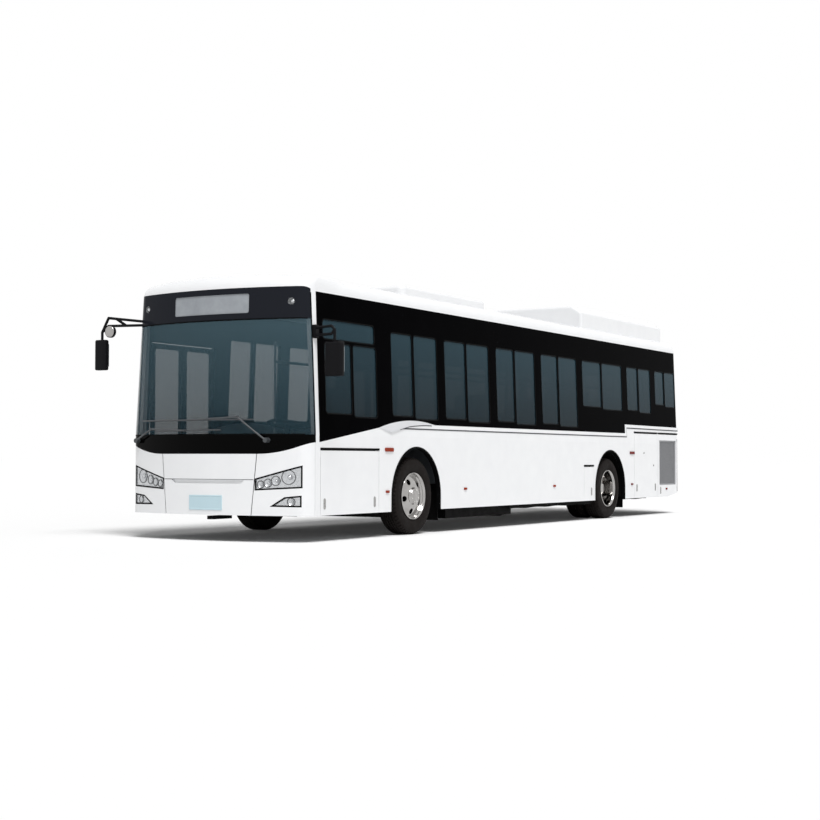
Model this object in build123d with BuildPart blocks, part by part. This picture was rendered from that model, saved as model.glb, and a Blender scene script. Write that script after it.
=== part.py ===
from build123d import *
from collections import namedtuple
import os

os.makedirs("parts", exist_ok=True)

# Low-entry city bus, in millimetres. The front looks towards -Y, the left side is +X,
# the ground is Z = 0 and the origin lies under the middle of the body.
# Heights and side positions come from the wheels: Y in the tables runs back from the front axle.

# Body shell: vertical below the waist, leaning in above it, with a crowned roof and bowed front.
LENGTH = 12000
HALF_WIDTH = 1275
SKIRT_Z = 300
WAIST_Z = 1207
EAVES_Z = 2820
CROWN_Z = 3035
CROWN_DROP = 45
TUMBLEHOME = 60
FRONT_RAKE = 55
FRONT_BOW = 220
CORNER_R = 200
COVE_R = 170
WALL = 55
SKIN = 40
GLASS = 12
PANE_RECESS = 8
TAIL_RISE = 70
TAIL_RISE_LENGTH = 650
PANEL_GAP = 6

# Running gear
FRONT_AXLE_Y = -3400
WHEELBASE = 6200
TYRE_R = 478.5
TYRE_WIDTH = 276
RIM_R = 285
RIM_WIDTH = 210
RIM_WALL = 20
WHEEL_X = 1100
TWIN_PITCH = 310
KINGPIN_X = 930
RUNNING_GAP = 0.3

# Floor and wheel boxes
FLOOR_Z = 370
FLOOR_T = 50
RAISED_FLOOR_Z = 1000
RISER_Y = 4950
CAB_FLOOR_Z = 620
CAB_X = 100
CAB_REAR_Y = -950
CABIN_FRONT_Y = -2480
ARCH_R = 600
WHEEL_BOX_X = 570
WHEEL_BOX_WALL = 30
WHEEL_BOX_HALF = 660
WHEEL_BOX_Z = 1120

# Panel joints on the sides and the front
FRONT_JOIN_Y = -2262
POST_REAR_Y = -2185
REAR_JOIN_Y = 9290
SIGN_HALF = 530
SIGN_Z = (2580, 2800)
HEADER_Z = (2510, 2868)
HEADER_HALF = 1222
HEADER_CORNER_R = 80
HEADER_LAMP_X = 1030
HEADER_LAMP_Z = 2700
HEADER_LAMP_R = 40
SCUTTLE_LOW_Z = 990
SCUTTLE_SIDE_Z = 1120
SCUTTLE_HALF = 680
CENTRE_HALF_TOP = 668
CENTRE_HALF_LOW = 600
FRONT_SEAM = 10
CREASE_Z = 700
GRIP_LOW_Z = 655
GRIP_TOP_HALF = 520
GRIP_LOW_HALF = 470
HEADLAMP = ((650, 583), (1193, 612), (1193, 860), (650, 712))
FOG_LAMP = ((837, 404), (1185, 400), (1185, 526), (1000, 508))
LAMP_CORNER_R = 14

# Belt between the painted side and the dark band: it climbs, swells over the wheel and steps up.
BELT_FRONT_Z = 1122
SWELL_START = (-895, 1309)
SWELL_TOP = (-135, 1410)
SWELL_END_Y = 473
BELT_Z = 1365
BELT_STEP_Y = 6833
BELT_STEP_Z = 1510
BELT_REAR_Z = 1500

# Doors and flaps
DOOR_TOP_Z = 2340
LEAF_X = 1212
LEAF_T = 32
LEAF_CLEAR = 8
LEAF_FRAME = 55
LEAF_KICK = 260
LEAF_HINGE_INSET = 25
DOOR_PIN_R = 10
DOOR_PIN_SEAT = 13
FLAP_TOP_GAP = 16
FLAP_PIN_R = 5
FLAP_AXIS_INSET = 8
FLAP_PIN_SEAT = 10

# Rear end
REAR_WINDOW = (850, 1760, 2480)
ENGINE_LID = (860, 560, 1560)
TAIL_LAMP_X = 1010
TAIL_LAMP_SIZE = (110, 520)
TAIL_LAMP_Z = 1120
LOUVRE_SIZE = (1200, 24)
LOUVRE_PITCH = 62
LOUVRE_COUNT = 9
LOUVRE_Z = 1000

Window = namedtuple("Window", "front divider rear sill top")
DRIVER_WINDOW = Window(-2040, -1460, -920, 1420, 2260)
WINDOWS = (
    Window(-570, -40, 570, 1428, 2475),
    Window(770, 1360, 2020, 1425, 2470),
    Window(2240, 2810, 3470, 1425, 2470),
    Window(3690, 4275, 4960, 1425, 2470),
    Window(5170, 5924, 6770, 1727, 2465),
    Window(6980, 7477, 8040, 1717, 2460),
    Window(8250, 8693, 9210, 1849, 2458),
)
MID_DOOR_WINDOW = 2
PANE_BAR = 40
FRONT_PANE_RAISE = 28
PANE_R = 45
TRANSOM = Window(-2070, -2070, -950, 2293, 2520)

Door = namedtuple("Door", "name front rear")
DOORS = (Door("front_door", -2130, -880), Door("middle_door", 2220, 3490))

Flap = namedtuple("Flap", "name front rear top")
FLAPS = (
    Flap("locker_flap", -2155, -905, 1030),
    Flap("filler_flap", 5160, 5520, 822),
    Flap("engine_flap", 7225, 8275, 1370),
    Flap("radiator_flap", 8325, 9250, 1370),
)
GRILLE = (8375, 9190, 500, 1270)
GRILLE_SLAT_PITCH = 48
GRILLE_SLAT = 22
GRILLE_T = 20

SIDE_PLANE = Plane(origin=(0, FRONT_AXLE_Y, 0), x_dir=(0, 1, 0), z_dir=(1, 0, 0))
REACH = 2 * HALF_WIDTH


def save(piece, label):
    piece.part.label = label
    export_step(piece.part, f"parts/{label}.step")


def wall_x(z):
    """Half width of the outer skin at height z."""
    return HALF_WIDTH - TUMBLEHOME * max(0, z - WAIST_Z) / (EAVES_Z - WAIST_Z)


def front_y(x, z, ahead):
    """Y of a point lying ahead of the bowed, raked front skin."""
    half = wall_x(z)
    radius = (half**2 + FRONT_BOW**2) / (2 * FRONT_BOW)
    rake = FRONT_RAKE * max(0, z - WAIST_Z) / (EAVES_Z - WAIST_Z)
    return -LENGTH / 2 + rake + radius - (radius**2 - x**2) ** 0.5 - ahead


def plan(z, half, front, rear, corner):
    """Body outline seen from above: bowed front, straight sides and rear, round corners."""
    with BuildSketch(Plane.XY.offset(z)) as outline:
        with BuildLine():
            ThreePointArc((-half, front + FRONT_BOW), (0, front), (half, front + FRONT_BOW))
            Polyline((half, front + FRONT_BOW), (half, rear), (-half, rear), (-half, front + FRONT_BOW))
        make_face()
        fillet(outline.vertices(), corner)
    return outline.sketch


def envelope(inset):
    """Solid bounded by the body skin moved inwards by inset, open to below the skirt."""
    bottom = SKIRT_Z - inset
    half = HALF_WIDTH - inset
    front = inset - LENGTH / 2
    rear = LENGTH / 2 - inset
    top = CROWN_Z - inset
    lean = (CROWN_Z - WAIST_Z) / (EAVES_Z - WAIST_Z)
    with BuildPart() as body:
        add(plan(bottom, half, front, rear, CORNER_R - inset))
        extrude(amount=WAIST_Z - bottom)
        add(plan(WAIST_Z, half, front, rear, CORNER_R - inset))
        add(plan(CROWN_Z, half - TUMBLEHOME * lean, front + FRONT_RAKE * lean, rear, CORNER_R - inset))
        loft(ruled=True)
        with BuildSketch(Plane.XZ):
            with BuildLine():
                ThreePointArc((-HALF_WIDTH, top - CROWN_DROP), (0, top), (HALF_WIDTH, top - CROWN_DROP))
                Polyline(
                    (HALF_WIDTH, top - CROWN_DROP),
                    (HALF_WIDTH, bottom),
                    (-HALF_WIDTH, bottom),
                    (-HALF_WIDTH, top - CROWN_DROP),
                )
            make_face()
        extrude(amount=LENGTH, both=True, mode=Mode.INTERSECT)
        fillet(body.faces().sort_by(Axis.Z)[-1].edges(), COVE_R - inset)
    return body.part


OUTER = envelope(0)
INNER = envelope(WALL)
PANE_OUTER = envelope(PANE_RECESS)
PANE_INNER = envelope(PANE_RECESS + GLASS)
SCREEN_INNER = envelope(GLASS)
SKIN_INNER = envelope(SKIN)

# The skirt line rises towards the tail on every lower panel.
with BuildPart() as tail_rise:
    with BuildSketch(Plane.YZ):
        Polygon(
            (LENGTH / 2 - TAIL_RISE_LENGTH, SKIRT_Z),
            (LENGTH / 2 + PANEL_GAP, SKIRT_Z - PANEL_GAP),
            (LENGTH / 2 + PANEL_GAP, SKIRT_Z + TAIL_RISE),
            align=None,
        )
    extrude(amount=REACH, both=True)

SHELL = OUTER - INNER - tail_rise.part
SKIN_LAYER = OUTER - SKIN_INNER - tail_rise.part


def belt_line():
    """Edge between the painted lower side and the dark window band, front to rear."""
    Line((POST_REAR_Y, BELT_FRONT_Z), SWELL_START)
    ThreePointArc(SWELL_START, SWELL_TOP, (SWELL_END_Y, BELT_Z))
    Polyline(
        (SWELL_END_Y, BELT_Z),
        (BELT_STEP_Y, BELT_Z),
        (BELT_STEP_Y, BELT_STEP_Z),
        (REAR_JOIN_Y, BELT_REAR_Z),
    )


# Openings of the left side's flaps, with a hole for each end of their hinge pins.
with BuildPart() as flap_openings:
    for flap in FLAPS:
        middle = (flap.front + flap.rear) / 2
        top = flap.top + FLAP_TOP_GAP
        with BuildSketch(SIDE_PLANE):
            with Locations((middle, top / 2)):
                Rectangle(flap.rear - flap.front + 2 * PANEL_GAP, top)
        extrude(amount=REACH)
        half_pin = (flap.rear - flap.front) / 2 + PANEL_GAP + FLAP_PIN_SEAT
        with BuildSketch(Plane.XZ.offset(-FRONT_AXLE_Y - middle)):
            with Locations((wall_x(flap.top) - FLAP_AXIS_INSET, flap.top - FLAP_AXIS_INSET)):
                Circle(FLAP_PIN_R + RUNNING_GAP)
        extrude(amount=half_pin, both=True)

# Doorways of the right side, with the pivot holes of the leaves above and below.
with BuildPart() as door_openings:
    for door in DOORS:
        with BuildSketch(SIDE_PLANE):
            with Locations(((door.front + door.rear) / 2, (FLOOR_Z + DOOR_TOP_Z) / 2)):
                Rectangle(door.rear - door.front, DOOR_TOP_Z - FLOOR_Z)
        extrude(amount=-REACH)
        for y in (door.front + LEAF_HINGE_INSET, door.rear - LEAF_HINGE_INSET):
            with BuildSketch(Plane.XY.offset(FLOOR_Z - DOOR_PIN_SEAT)):
                with Locations((-LEAF_X, FRONT_AXLE_Y + y)):
                    Circle(DOOR_PIN_R + RUNNING_GAP)
            extrude(amount=DOOR_TOP_Z - FLOOR_Z + 2 * DOOR_PIN_SEAT)


def pane_shapes(windows):
    """Sketch the two panes of each window, the front one with the higher sill."""
    for window in windows:
        front_sill = window.sill + FRONT_PANE_RAISE
        spans = (
            (window.front, window.divider - PANE_BAR / 2, front_sill),
            (window.divider + PANE_BAR / 2, window.rear, window.sill),
        )
        for start, end, sill in spans:
            with Locations(((start + end) / 2, (sill + window.top) / 2)):
                RectangleRounded(end - start, window.top - sill, PANE_R)


def transom_shape():
    """Sketch the long low pane above the driver's window."""
    with Locations(((TRANSOM.front + TRANSOM.rear) / 2, (TRANSOM.sill + TRANSOM.top) / 2)):
        RectangleRounded(TRANSOM.rear - TRANSOM.front, TRANSOM.top - TRANSOM.sill, PANE_R)


LEFT_WINDOWS = (DRIVER_WINDOW,) + WINDOWS
RIGHT_WINDOWS = WINDOWS[:MID_DOOR_WINDOW] + WINDOWS[MID_DOOR_WINDOW + 1 :]

# Lower sides: painted panels with round wheel arches; flaps on the left, doorways on the right.
for side, label in ((1, "left_side_panel"), (-1, "right_side_panel")):
    with BuildPart() as side_panel:
        add(SHELL)
        with BuildSketch(SIDE_PLANE):
            with BuildLine():
                belt_line()
                Polyline(
                    (REAR_JOIN_Y, BELT_REAR_Z),
                    (REAR_JOIN_Y, 0),
                    (POST_REAR_Y, 0),
                    (POST_REAR_Y, BELT_FRONT_Z),
                )
            make_face()
        extrude(amount=side * REACH, mode=Mode.INTERSECT)
        with BuildSketch(SIDE_PLANE):
            for axle in (0, WHEELBASE):
                with Locations((axle, TYRE_R)):
                    Circle(ARCH_R)
                with Locations((axle, TYRE_R / 2)):
                    Rectangle(2 * ARCH_R, TYRE_R)
        extrude(amount=side * REACH, mode=Mode.SUBTRACT)
        if side > 0:
            add(flap_openings.part, mode=Mode.SUBTRACT)
        else:
            add(door_openings.part, mode=Mode.SUBTRACT)
    save(side_panel, label)

# Window bands: dark upper sides from the belt to the eaves, with every pane opening cut.
BANDS = ((1, "left_window_band", LEFT_WINDOWS), (-1, "right_window_band", RIGHT_WINDOWS))
for side, label, windows in BANDS:
    with BuildPart() as window_band:
        add(SHELL)
        with BuildSketch(SIDE_PLANE):
            with BuildLine():
                belt_line()
                Polyline(
                    (REAR_JOIN_Y, BELT_REAR_Z),
                    (REAR_JOIN_Y, EAVES_Z),
                    (POST_REAR_Y, EAVES_Z),
                    (POST_REAR_Y, BELT_FRONT_Z),
                )
            make_face()
        extrude(amount=side * REACH, mode=Mode.INTERSECT)
        with BuildSketch(SIDE_PLANE):
            pane_shapes(windows)
            if side > 0:
                transom_shape()
        extrude(amount=side * REACH, mode=Mode.SUBTRACT)
        if side < 0:
            add(door_openings.part, mode=Mode.SUBTRACT)
    save(window_band, label)

# Glass of the sides and the rear, set a little inside the skin.
with BuildPart() as body_glass:
    with BuildSketch(SIDE_PLANE):
        pane_shapes(LEFT_WINDOWS)
        transom_shape()
    extrude(amount=REACH)
    with BuildSketch(SIDE_PLANE):
        pane_shapes(RIGHT_WINDOWS)
    extrude(amount=-REACH)
    with BuildSketch(Plane.XZ.offset(-LENGTH / 4)):
        with Locations((0, (REAR_WINDOW[1] + REAR_WINDOW[2]) / 2)):
            RectangleRounded(2 * REAR_WINDOW[0], REAR_WINDOW[2] - REAR_WINDOW[1], PANE_R)
    extrude(amount=-LENGTH / 2)
    add(PANE_OUTER, mode=Mode.INTERSECT)
    add(PANE_INNER, mode=Mode.SUBTRACT)
save(body_glass, "body_glass")

FRONT_PLANE = Plane.XZ.offset(-FRONT_AXLE_Y - FRONT_JOIN_Y)


def header_shape():
    """Outline of the dark header seen from the front, with round upper corners."""
    with BuildSketch(FRONT_PLANE) as header:
        with Locations((0, (HEADER_Z[0] + HEADER_Z[1]) / 2)):
            Rectangle(2 * HEADER_HALF, HEADER_Z[1] - HEADER_Z[0])
        fillet(header.vertices().group_by(Axis.Y)[-1], HEADER_CORNER_R)
    return header.sketch


HEADER = header_shape()

# Roof: crowned shell with round coves, stopping above the header in front.
with BuildPart() as roof:
    add(SHELL)
    with BuildSketch(Plane.XY.offset(EAVES_Z)):
        Rectangle(REACH, LENGTH)
    extrude(amount=CROWN_Z - EAVES_Z, mode=Mode.INTERSECT)
    with BuildSketch(FRONT_PLANE):
        add(HEADER)
    extrude(amount=LENGTH, mode=Mode.SUBTRACT)
save(roof, "roof")


def scuttle_edge():
    """Lower edge of the dark panel under the windscreen, curving up towards both corners."""
    Line((-SCUTTLE_HALF, SCUTTLE_LOW_Z), (SCUTTLE_HALF, SCUTTLE_LOW_Z))
    for side in (1, -1):
        TangentArc(
            (side * SCUTTLE_HALF, SCUTTLE_LOW_Z),
            (side * HALF_WIDTH, SCUTTLE_SIDE_Z),
            tangent=(side, 0),
        )


def lamp_shapes():
    """Headlamps and fog lamps seen from the front, mirrored to the other side."""
    with BuildSketch(FRONT_PLANE) as lamps:
        for outline in (HEADLAMP, FOG_LAMP):
            with BuildLine():
                FilletPolyline(*outline, radius=LAMP_CORNER_R, close=True)
            make_face()
        mirror(about=Plane.YZ)
    return lamps.sketch


def seam_shapes():
    """The two slanting joints beside the tapered middle panel."""
    with BuildSketch(FRONT_PLANE) as seams:
        with BuildLine():
            Polyline(
                (CENTRE_HALF_LOW, SKIRT_Z),
                (CENTRE_HALF_TOP, SCUTTLE_LOW_Z + FRONT_SEAM),
                (CENTRE_HALF_TOP + FRONT_SEAM, SCUTTLE_LOW_Z + FRONT_SEAM),
                (CENTRE_HALF_LOW + FRONT_SEAM, SKIRT_Z),
                close=True,
            )
        make_face()
        mirror(about=Plane.YZ)
    return seams.sketch


LAMPS = lamp_shapes()
SEAMS = seam_shapes()

# Dark front panels: the header with the sign opening and the scuttle that carries the wipers.
with BuildPart() as front_mask:
    add(SHELL)
    with BuildSketch(FRONT_PLANE):
        add(HEADER)
        with Locations((0, (SIGN_Z[0] + SIGN_Z[1]) / 2)):
            RectangleRounded(2 * SIGN_HALF, SIGN_Z[1] - SIGN_Z[0], PANE_R / 2, mode=Mode.SUBTRACT)
        with Locations((-HEADER_LAMP_X, HEADER_LAMP_Z), (HEADER_LAMP_X, HEADER_LAMP_Z)):
            Circle(HEADER_LAMP_R, mode=Mode.SUBTRACT)
        with BuildLine():
            scuttle_edge()
            Polyline(
                (HALF_WIDTH, SCUTTLE_SIDE_Z),
                (HALF_WIDTH, WAIST_Z),
                (-HALF_WIDTH, WAIST_Z),
                (-HALF_WIDTH, SCUTTLE_SIDE_Z),
            )
        make_face()
    extrude(amount=LENGTH, mode=Mode.INTERSECT)
save(front_mask, "front_mask")

# Windscreen: one bowed pane between the scuttle and the header.
with BuildPart() as windscreen:
    add(OUTER)
    add(SCREEN_INNER, mode=Mode.SUBTRACT)
    with BuildSketch(FRONT_PLANE):
        with Locations((0, (WAIST_Z + HEADER_Z[0]) / 2)):
            Rectangle(REACH, HEADER_Z[0] - WAIST_Z)
    extrude(amount=LENGTH, mode=Mode.INTERSECT)
save(windscreen, "windscreen")

# Blank route display in the header opening.
with BuildPart() as destination_sign:
    add(PANE_OUTER)
    add(SKIN_INNER, mode=Mode.SUBTRACT)
    with BuildSketch(FRONT_PLANE):
        with Locations((0, (SIGN_Z[0] + SIGN_Z[1]) / 2)):
            RectangleRounded(2 * SIGN_HALF, SIGN_Z[1] - SIGN_Z[0], PANE_R / 2)
    extrude(amount=LENGTH, mode=Mode.INTERSECT)
save(destination_sign, "destination_sign")

# Crease across the middle panel and the shallow grip recess pressed in below it.
with BuildPart() as nose_crease:
    add(OUTER)
    add(PANE_OUTER, mode=Mode.SUBTRACT)
    with BuildSketch(FRONT_PLANE):
        with Locations((0, CREASE_Z)):
            Rectangle(2 * CENTRE_HALF_TOP, PANEL_GAP)
    extrude(amount=LENGTH, mode=Mode.INTERSECT)
with BuildPart() as nose_grip:
    add(OUTER)
    add(PANE_INNER, mode=Mode.SUBTRACT)
    with BuildSketch(FRONT_PLANE):
        Polygon(
            (-GRIP_TOP_HALF, CREASE_Z),
            (GRIP_TOP_HALF, CREASE_Z),
            (GRIP_LOW_HALF, GRIP_LOW_Z),
            (-GRIP_LOW_HALF, GRIP_LOW_Z),
            align=None,
        )
    extrude(amount=LENGTH, mode=Mode.INTERSECT)

# Painted front: a tapered middle panel, two corner panels with lamp openings, two corner posts.
with BuildPart() as front_panels:
    add(SHELL)
    with BuildSketch(FRONT_PLANE.offset(PANEL_GAP)):
        with BuildLine():
            scuttle_edge()
            Polyline(
                (HALF_WIDTH, SCUTTLE_SIDE_Z),
                (HALF_WIDTH, 0),
                (-HALF_WIDTH, 0),
                (-HALF_WIDTH, SCUTTLE_SIDE_Z),
            )
        make_face()
        add(SEAMS, mode=Mode.SUBTRACT)
        add(LAMPS, mode=Mode.SUBTRACT)
    extrude(amount=LENGTH, mode=Mode.INTERSECT)
    add(nose_crease.part, mode=Mode.SUBTRACT)
    add(nose_grip.part, mode=Mode.SUBTRACT)
with BuildPart() as corner_posts:
    add(SHELL)
    with BuildSketch(SIDE_PLANE):
        with Locations(((FRONT_JOIN_Y + POST_REAR_Y) / 2, EAVES_Z / 2)):
            Rectangle(POST_REAR_Y - FRONT_JOIN_Y, EAVES_Z)
    extrude(amount=REACH, both=True, mode=Mode.INTERSECT)
save(front_panels, "front_panels")
save(corner_posts, "corner_posts")

# Head, fog and header lamps, flush with the skin.
with BuildPart() as front_lamps:
    add(SKIN_LAYER)
    with BuildSketch(FRONT_PLANE):
        add(LAMPS)
        with Locations((-HEADER_LAMP_X, HEADER_LAMP_Z), (HEADER_LAMP_X, HEADER_LAMP_Z)):
            Circle(HEADER_LAMP_R)
    extrude(amount=LENGTH, mode=Mode.INTERSECT)
save(front_lamps, "front_lamps")

# Rear end: one painted wall with the window, lamp and engine openings.
REAR_PLANE = Plane.XZ.offset(-FRONT_AXLE_Y - REAR_JOIN_Y)
LID_HALF, LID_LOW, LID_TOP = ENGINE_LID
LID_AXIS_Y = LENGTH / 2 - FLAP_AXIS_INSET
with BuildSketch(REAR_PLANE) as tail_lamp_shapes:
    with Locations((-TAIL_LAMP_X, TAIL_LAMP_Z), (TAIL_LAMP_X, TAIL_LAMP_Z)):
        RectangleRounded(*TAIL_LAMP_SIZE, PANE_R)
with BuildPart() as rear_wall:
    add(SHELL)
    with BuildSketch(REAR_PLANE):
        with Locations((0, EAVES_Z / 2)):
            Rectangle(REACH, EAVES_Z)
        with Locations((0, (REAR_WINDOW[1] + REAR_WINDOW[2]) / 2)):
            RectangleRounded(
                2 * REAR_WINDOW[0],
                REAR_WINDOW[2] - REAR_WINDOW[1],
                PANE_R,
                mode=Mode.SUBTRACT,
            )
        with Locations((0, (LID_LOW - PANEL_GAP + LID_TOP + FLAP_TOP_GAP) / 2)):
            Rectangle(
                2 * LID_HALF + 2 * PANEL_GAP,
                LID_TOP - LID_LOW + FLAP_TOP_GAP + PANEL_GAP,
                mode=Mode.SUBTRACT,
            )
        add(tail_lamp_shapes.sketch, mode=Mode.SUBTRACT)
    extrude(amount=-LENGTH, mode=Mode.INTERSECT)
    with BuildSketch(Plane.YZ):
        with Locations((LID_AXIS_Y, LID_TOP - FLAP_AXIS_INSET)):
            Circle(FLAP_PIN_R + RUNNING_GAP)
    extrude(amount=LID_HALF + PANEL_GAP + FLAP_PIN_SEAT, both=True, mode=Mode.SUBTRACT)
save(rear_wall, "rear_wall")

# Engine lid, hung at its top, with rows of cooling slots.
with BuildPart() as engine_lid:
    add(SKIN_LAYER)
    with BuildSketch(REAR_PLANE):
        with Locations((0, (LID_LOW + LID_TOP) / 2)):
            Rectangle(2 * LID_HALF, LID_TOP - LID_LOW)
        with Locations((0, LOUVRE_Z)):
            with GridLocations(0, LOUVRE_PITCH, 1, LOUVRE_COUNT):
                SlotOverall(*LOUVRE_SIZE, mode=Mode.SUBTRACT)
    extrude(amount=-LENGTH, mode=Mode.INTERSECT)
    with BuildSketch(Plane.YZ):
        with Locations((LID_AXIS_Y, LID_TOP - FLAP_AXIS_INSET)):
            Circle(FLAP_PIN_R)
    extrude(amount=LID_HALF + FLAP_PIN_SEAT, both=True)
save(engine_lid, "engine_lid")

with BuildPart() as tail_lamps:
    add(SKIN_LAYER)
    with BuildSketch(REAR_PLANE):
        add(tail_lamp_shapes.sketch)
    extrude(amount=-LENGTH, mode=Mode.INTERSECT)
save(tail_lamps, "tail_lamps")

# Top-hung flaps of the left side; each turns on pins at both ends of its upper edge.
for flap in FLAPS:
    middle = (flap.front + flap.rear) / 2
    with BuildPart() as flap_panel:
        add(SKIN_LAYER)
        with BuildSketch(SIDE_PLANE):
            with Locations((middle, flap.top / 2)):
                Rectangle(flap.rear - flap.front, flap.top)
            if flap.name == "radiator_flap":
                with Locations(((GRILLE[0] + GRILLE[1]) / 2, (GRILLE[2] + GRILLE[3]) / 2)):
                    Rectangle(GRILLE[1] - GRILLE[0], GRILLE[3] - GRILLE[2], mode=Mode.SUBTRACT)
        extrude(amount=REACH, mode=Mode.INTERSECT)
        with BuildSketch(Plane.XZ.offset(-FRONT_AXLE_Y - middle)):
            with Locations((wall_x(flap.top) - FLAP_AXIS_INSET, flap.top - FLAP_AXIS_INSET)):
                Circle(FLAP_PIN_R)
        extrude(amount=(flap.rear - flap.front) / 2 + FLAP_PIN_SEAT, both=True)
    save(flap_panel, flap.name)

# Radiator grille: upright slats in a frame, inside the last flap.
GRILLE_MIDDLE = ((GRILLE[0] + GRILLE[1]) / 2, (GRILLE[2] + GRILLE[3]) / 2)
GRILLE_WIDTH = GRILLE[1] - GRILLE[0]
GRILLE_HEIGHT = GRILLE[3] - GRILLE[2]
GRILLE_COUNT = int((GRILLE_WIDTH - GRILLE_SLAT) / GRILLE_SLAT_PITCH)
with BuildPart() as radiator_grille:
    with BuildSketch(SIDE_PLANE.offset(HALF_WIDTH - SKIN)):
        with Locations(GRILLE_MIDDLE):
            Rectangle(GRILLE_WIDTH, GRILLE_HEIGHT)
            Rectangle(
                GRILLE_WIDTH - 2 * GRILLE_SLAT,
                GRILLE_HEIGHT - 2 * GRILLE_SLAT,
                mode=Mode.SUBTRACT,
            )
            with GridLocations(GRILLE_SLAT_PITCH, 0, GRILLE_COUNT, 1):
                Rectangle(GRILLE_SLAT, GRILLE_HEIGHT)
    extrude(amount=GRILLE_T)
save(radiator_grille, "radiator_grille")

# Door leaves: glazed frames on a hinge tube beside the jamb, swinging into the saloon.
LEAF_LOW = FLOOR_Z + LEAF_CLEAR
LEAF_TOP = DOOR_TOP_Z - LEAF_CLEAR
for door in DOORS:
    door_middle = (door.front + door.rear) / 2
    leaves = (("front", door.front + LEAF_HINGE_INSET, 1), ("rear", door.rear - LEAF_HINGE_INSET, -1))
    for end, hinge_y, way in leaves:
        edge_y = door_middle - way * LEAF_CLEAR / 2
        leaf_middle = (hinge_y + edge_y) / 2
        leaf_width = abs(edge_y - hinge_y)
        pane_size = (leaf_width - 2 * LEAF_FRAME, LEAF_TOP - LEAF_LOW - LEAF_FRAME - LEAF_KICK)
        pane_at = (leaf_middle, (LEAF_LOW + LEAF_KICK + LEAF_TOP - LEAF_FRAME) / 2)
        with BuildPart() as leaf:
            with BuildSketch(SIDE_PLANE.offset(-LEAF_X)):
                with Locations((leaf_middle, (LEAF_LOW + LEAF_TOP) / 2)):
                    Rectangle(leaf_width, LEAF_TOP - LEAF_LOW)
                with Locations(pane_at):
                    RectangleRounded(*pane_size, PANE_R, mode=Mode.SUBTRACT)
            extrude(amount=LEAF_T / 2, both=True)
            with BuildSketch(Plane.XY.offset(LEAF_LOW)):
                with Locations((-LEAF_X, FRONT_AXLE_Y + hinge_y)):
                    Circle(LEAF_T / 2)
            extrude(amount=LEAF_TOP - LEAF_LOW)
            with BuildSketch(Plane.XY.offset(FLOOR_Z - DOOR_PIN_SEAT + RUNNING_GAP)):
                with Locations((-LEAF_X, FRONT_AXLE_Y + hinge_y)):
                    Circle(DOOR_PIN_R)
            extrude(amount=DOOR_TOP_Z - FLOOR_Z + 2 * DOOR_PIN_SEAT - 2 * RUNNING_GAP)
        save(leaf, f"{door.name}_leaf_{end}")
        with BuildPart() as leaf_glass:
            with BuildSketch(SIDE_PLANE.offset(-LEAF_X)):
                with Locations(pane_at):
                    RectangleRounded(*pane_size, PANE_R)
            extrude(amount=GLASS / 2, both=True)
        save(leaf_glass, f"{door.name}_glass_{end}")

# Wheel boxes: open below and outwards, closed by a top and three walls over each wheel.
def wheel_box_shapes(axles, wall):
    """Footprints of the boxes over the wheels of the given axles, grown by wall."""
    for axle in axles:
        with Locations((0, FRONT_AXLE_Y + axle)):
            Rectangle(2 * REACH, 2 * WHEEL_BOX_HALF + 2 * wall)
            Rectangle(2 * (WHEEL_BOX_X + WHEEL_BOX_WALL - wall), LENGTH / 4, mode=Mode.SUBTRACT)


LOW_FLOOR_UNDER_Z = FLOOR_Z - FLOOR_T
RAISED_FLOOR_UNDER_Z = RAISED_FLOOR_Z - FLOOR_T
with BuildPart() as wheel_boxes:
    for axle, low in ((0, LOW_FLOOR_UNDER_Z), (WHEELBASE, RAISED_FLOOR_UNDER_Z)):
        with BuildSketch(Plane.XY.offset(low)):
            wheel_box_shapes((axle,), WHEEL_BOX_WALL)
        extrude(amount=WHEEL_BOX_Z - low)
    add(INNER, mode=Mode.INTERSECT)
    with BuildSketch(Plane.XY):
        wheel_box_shapes((0,), 0)
    extrude(amount=WHEEL_BOX_Z - WHEEL_BOX_WALL, mode=Mode.SUBTRACT)
    with BuildSketch(Plane.XY):
        wheel_box_shapes((WHEELBASE,), 0)
    extrude(amount=WHEEL_BOX_Z - WHEEL_BOX_WALL, mode=Mode.SUBTRACT)
save(wheel_boxes, "wheel_boxes")

# Low floor in front, notched for the wheel boxes and drilled for the door pivots.
with BuildPart() as floor:
    with BuildSketch(Plane.XY.offset(LOW_FLOOR_UNDER_Z)):
        with Locations((0, FRONT_AXLE_Y + (CABIN_FRONT_Y + RISER_Y) / 2)):
            Rectangle(REACH, RISER_Y - CABIN_FRONT_Y)
    extrude(amount=FLOOR_T)
    add(INNER, mode=Mode.INTERSECT)
    with BuildSketch(Plane.XY):
        wheel_box_shapes((0,), WHEEL_BOX_WALL)
    extrude(amount=WHEEL_BOX_Z, mode=Mode.SUBTRACT)
    add(door_openings.part, mode=Mode.SUBTRACT)
save(floor, "floor")

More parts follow.
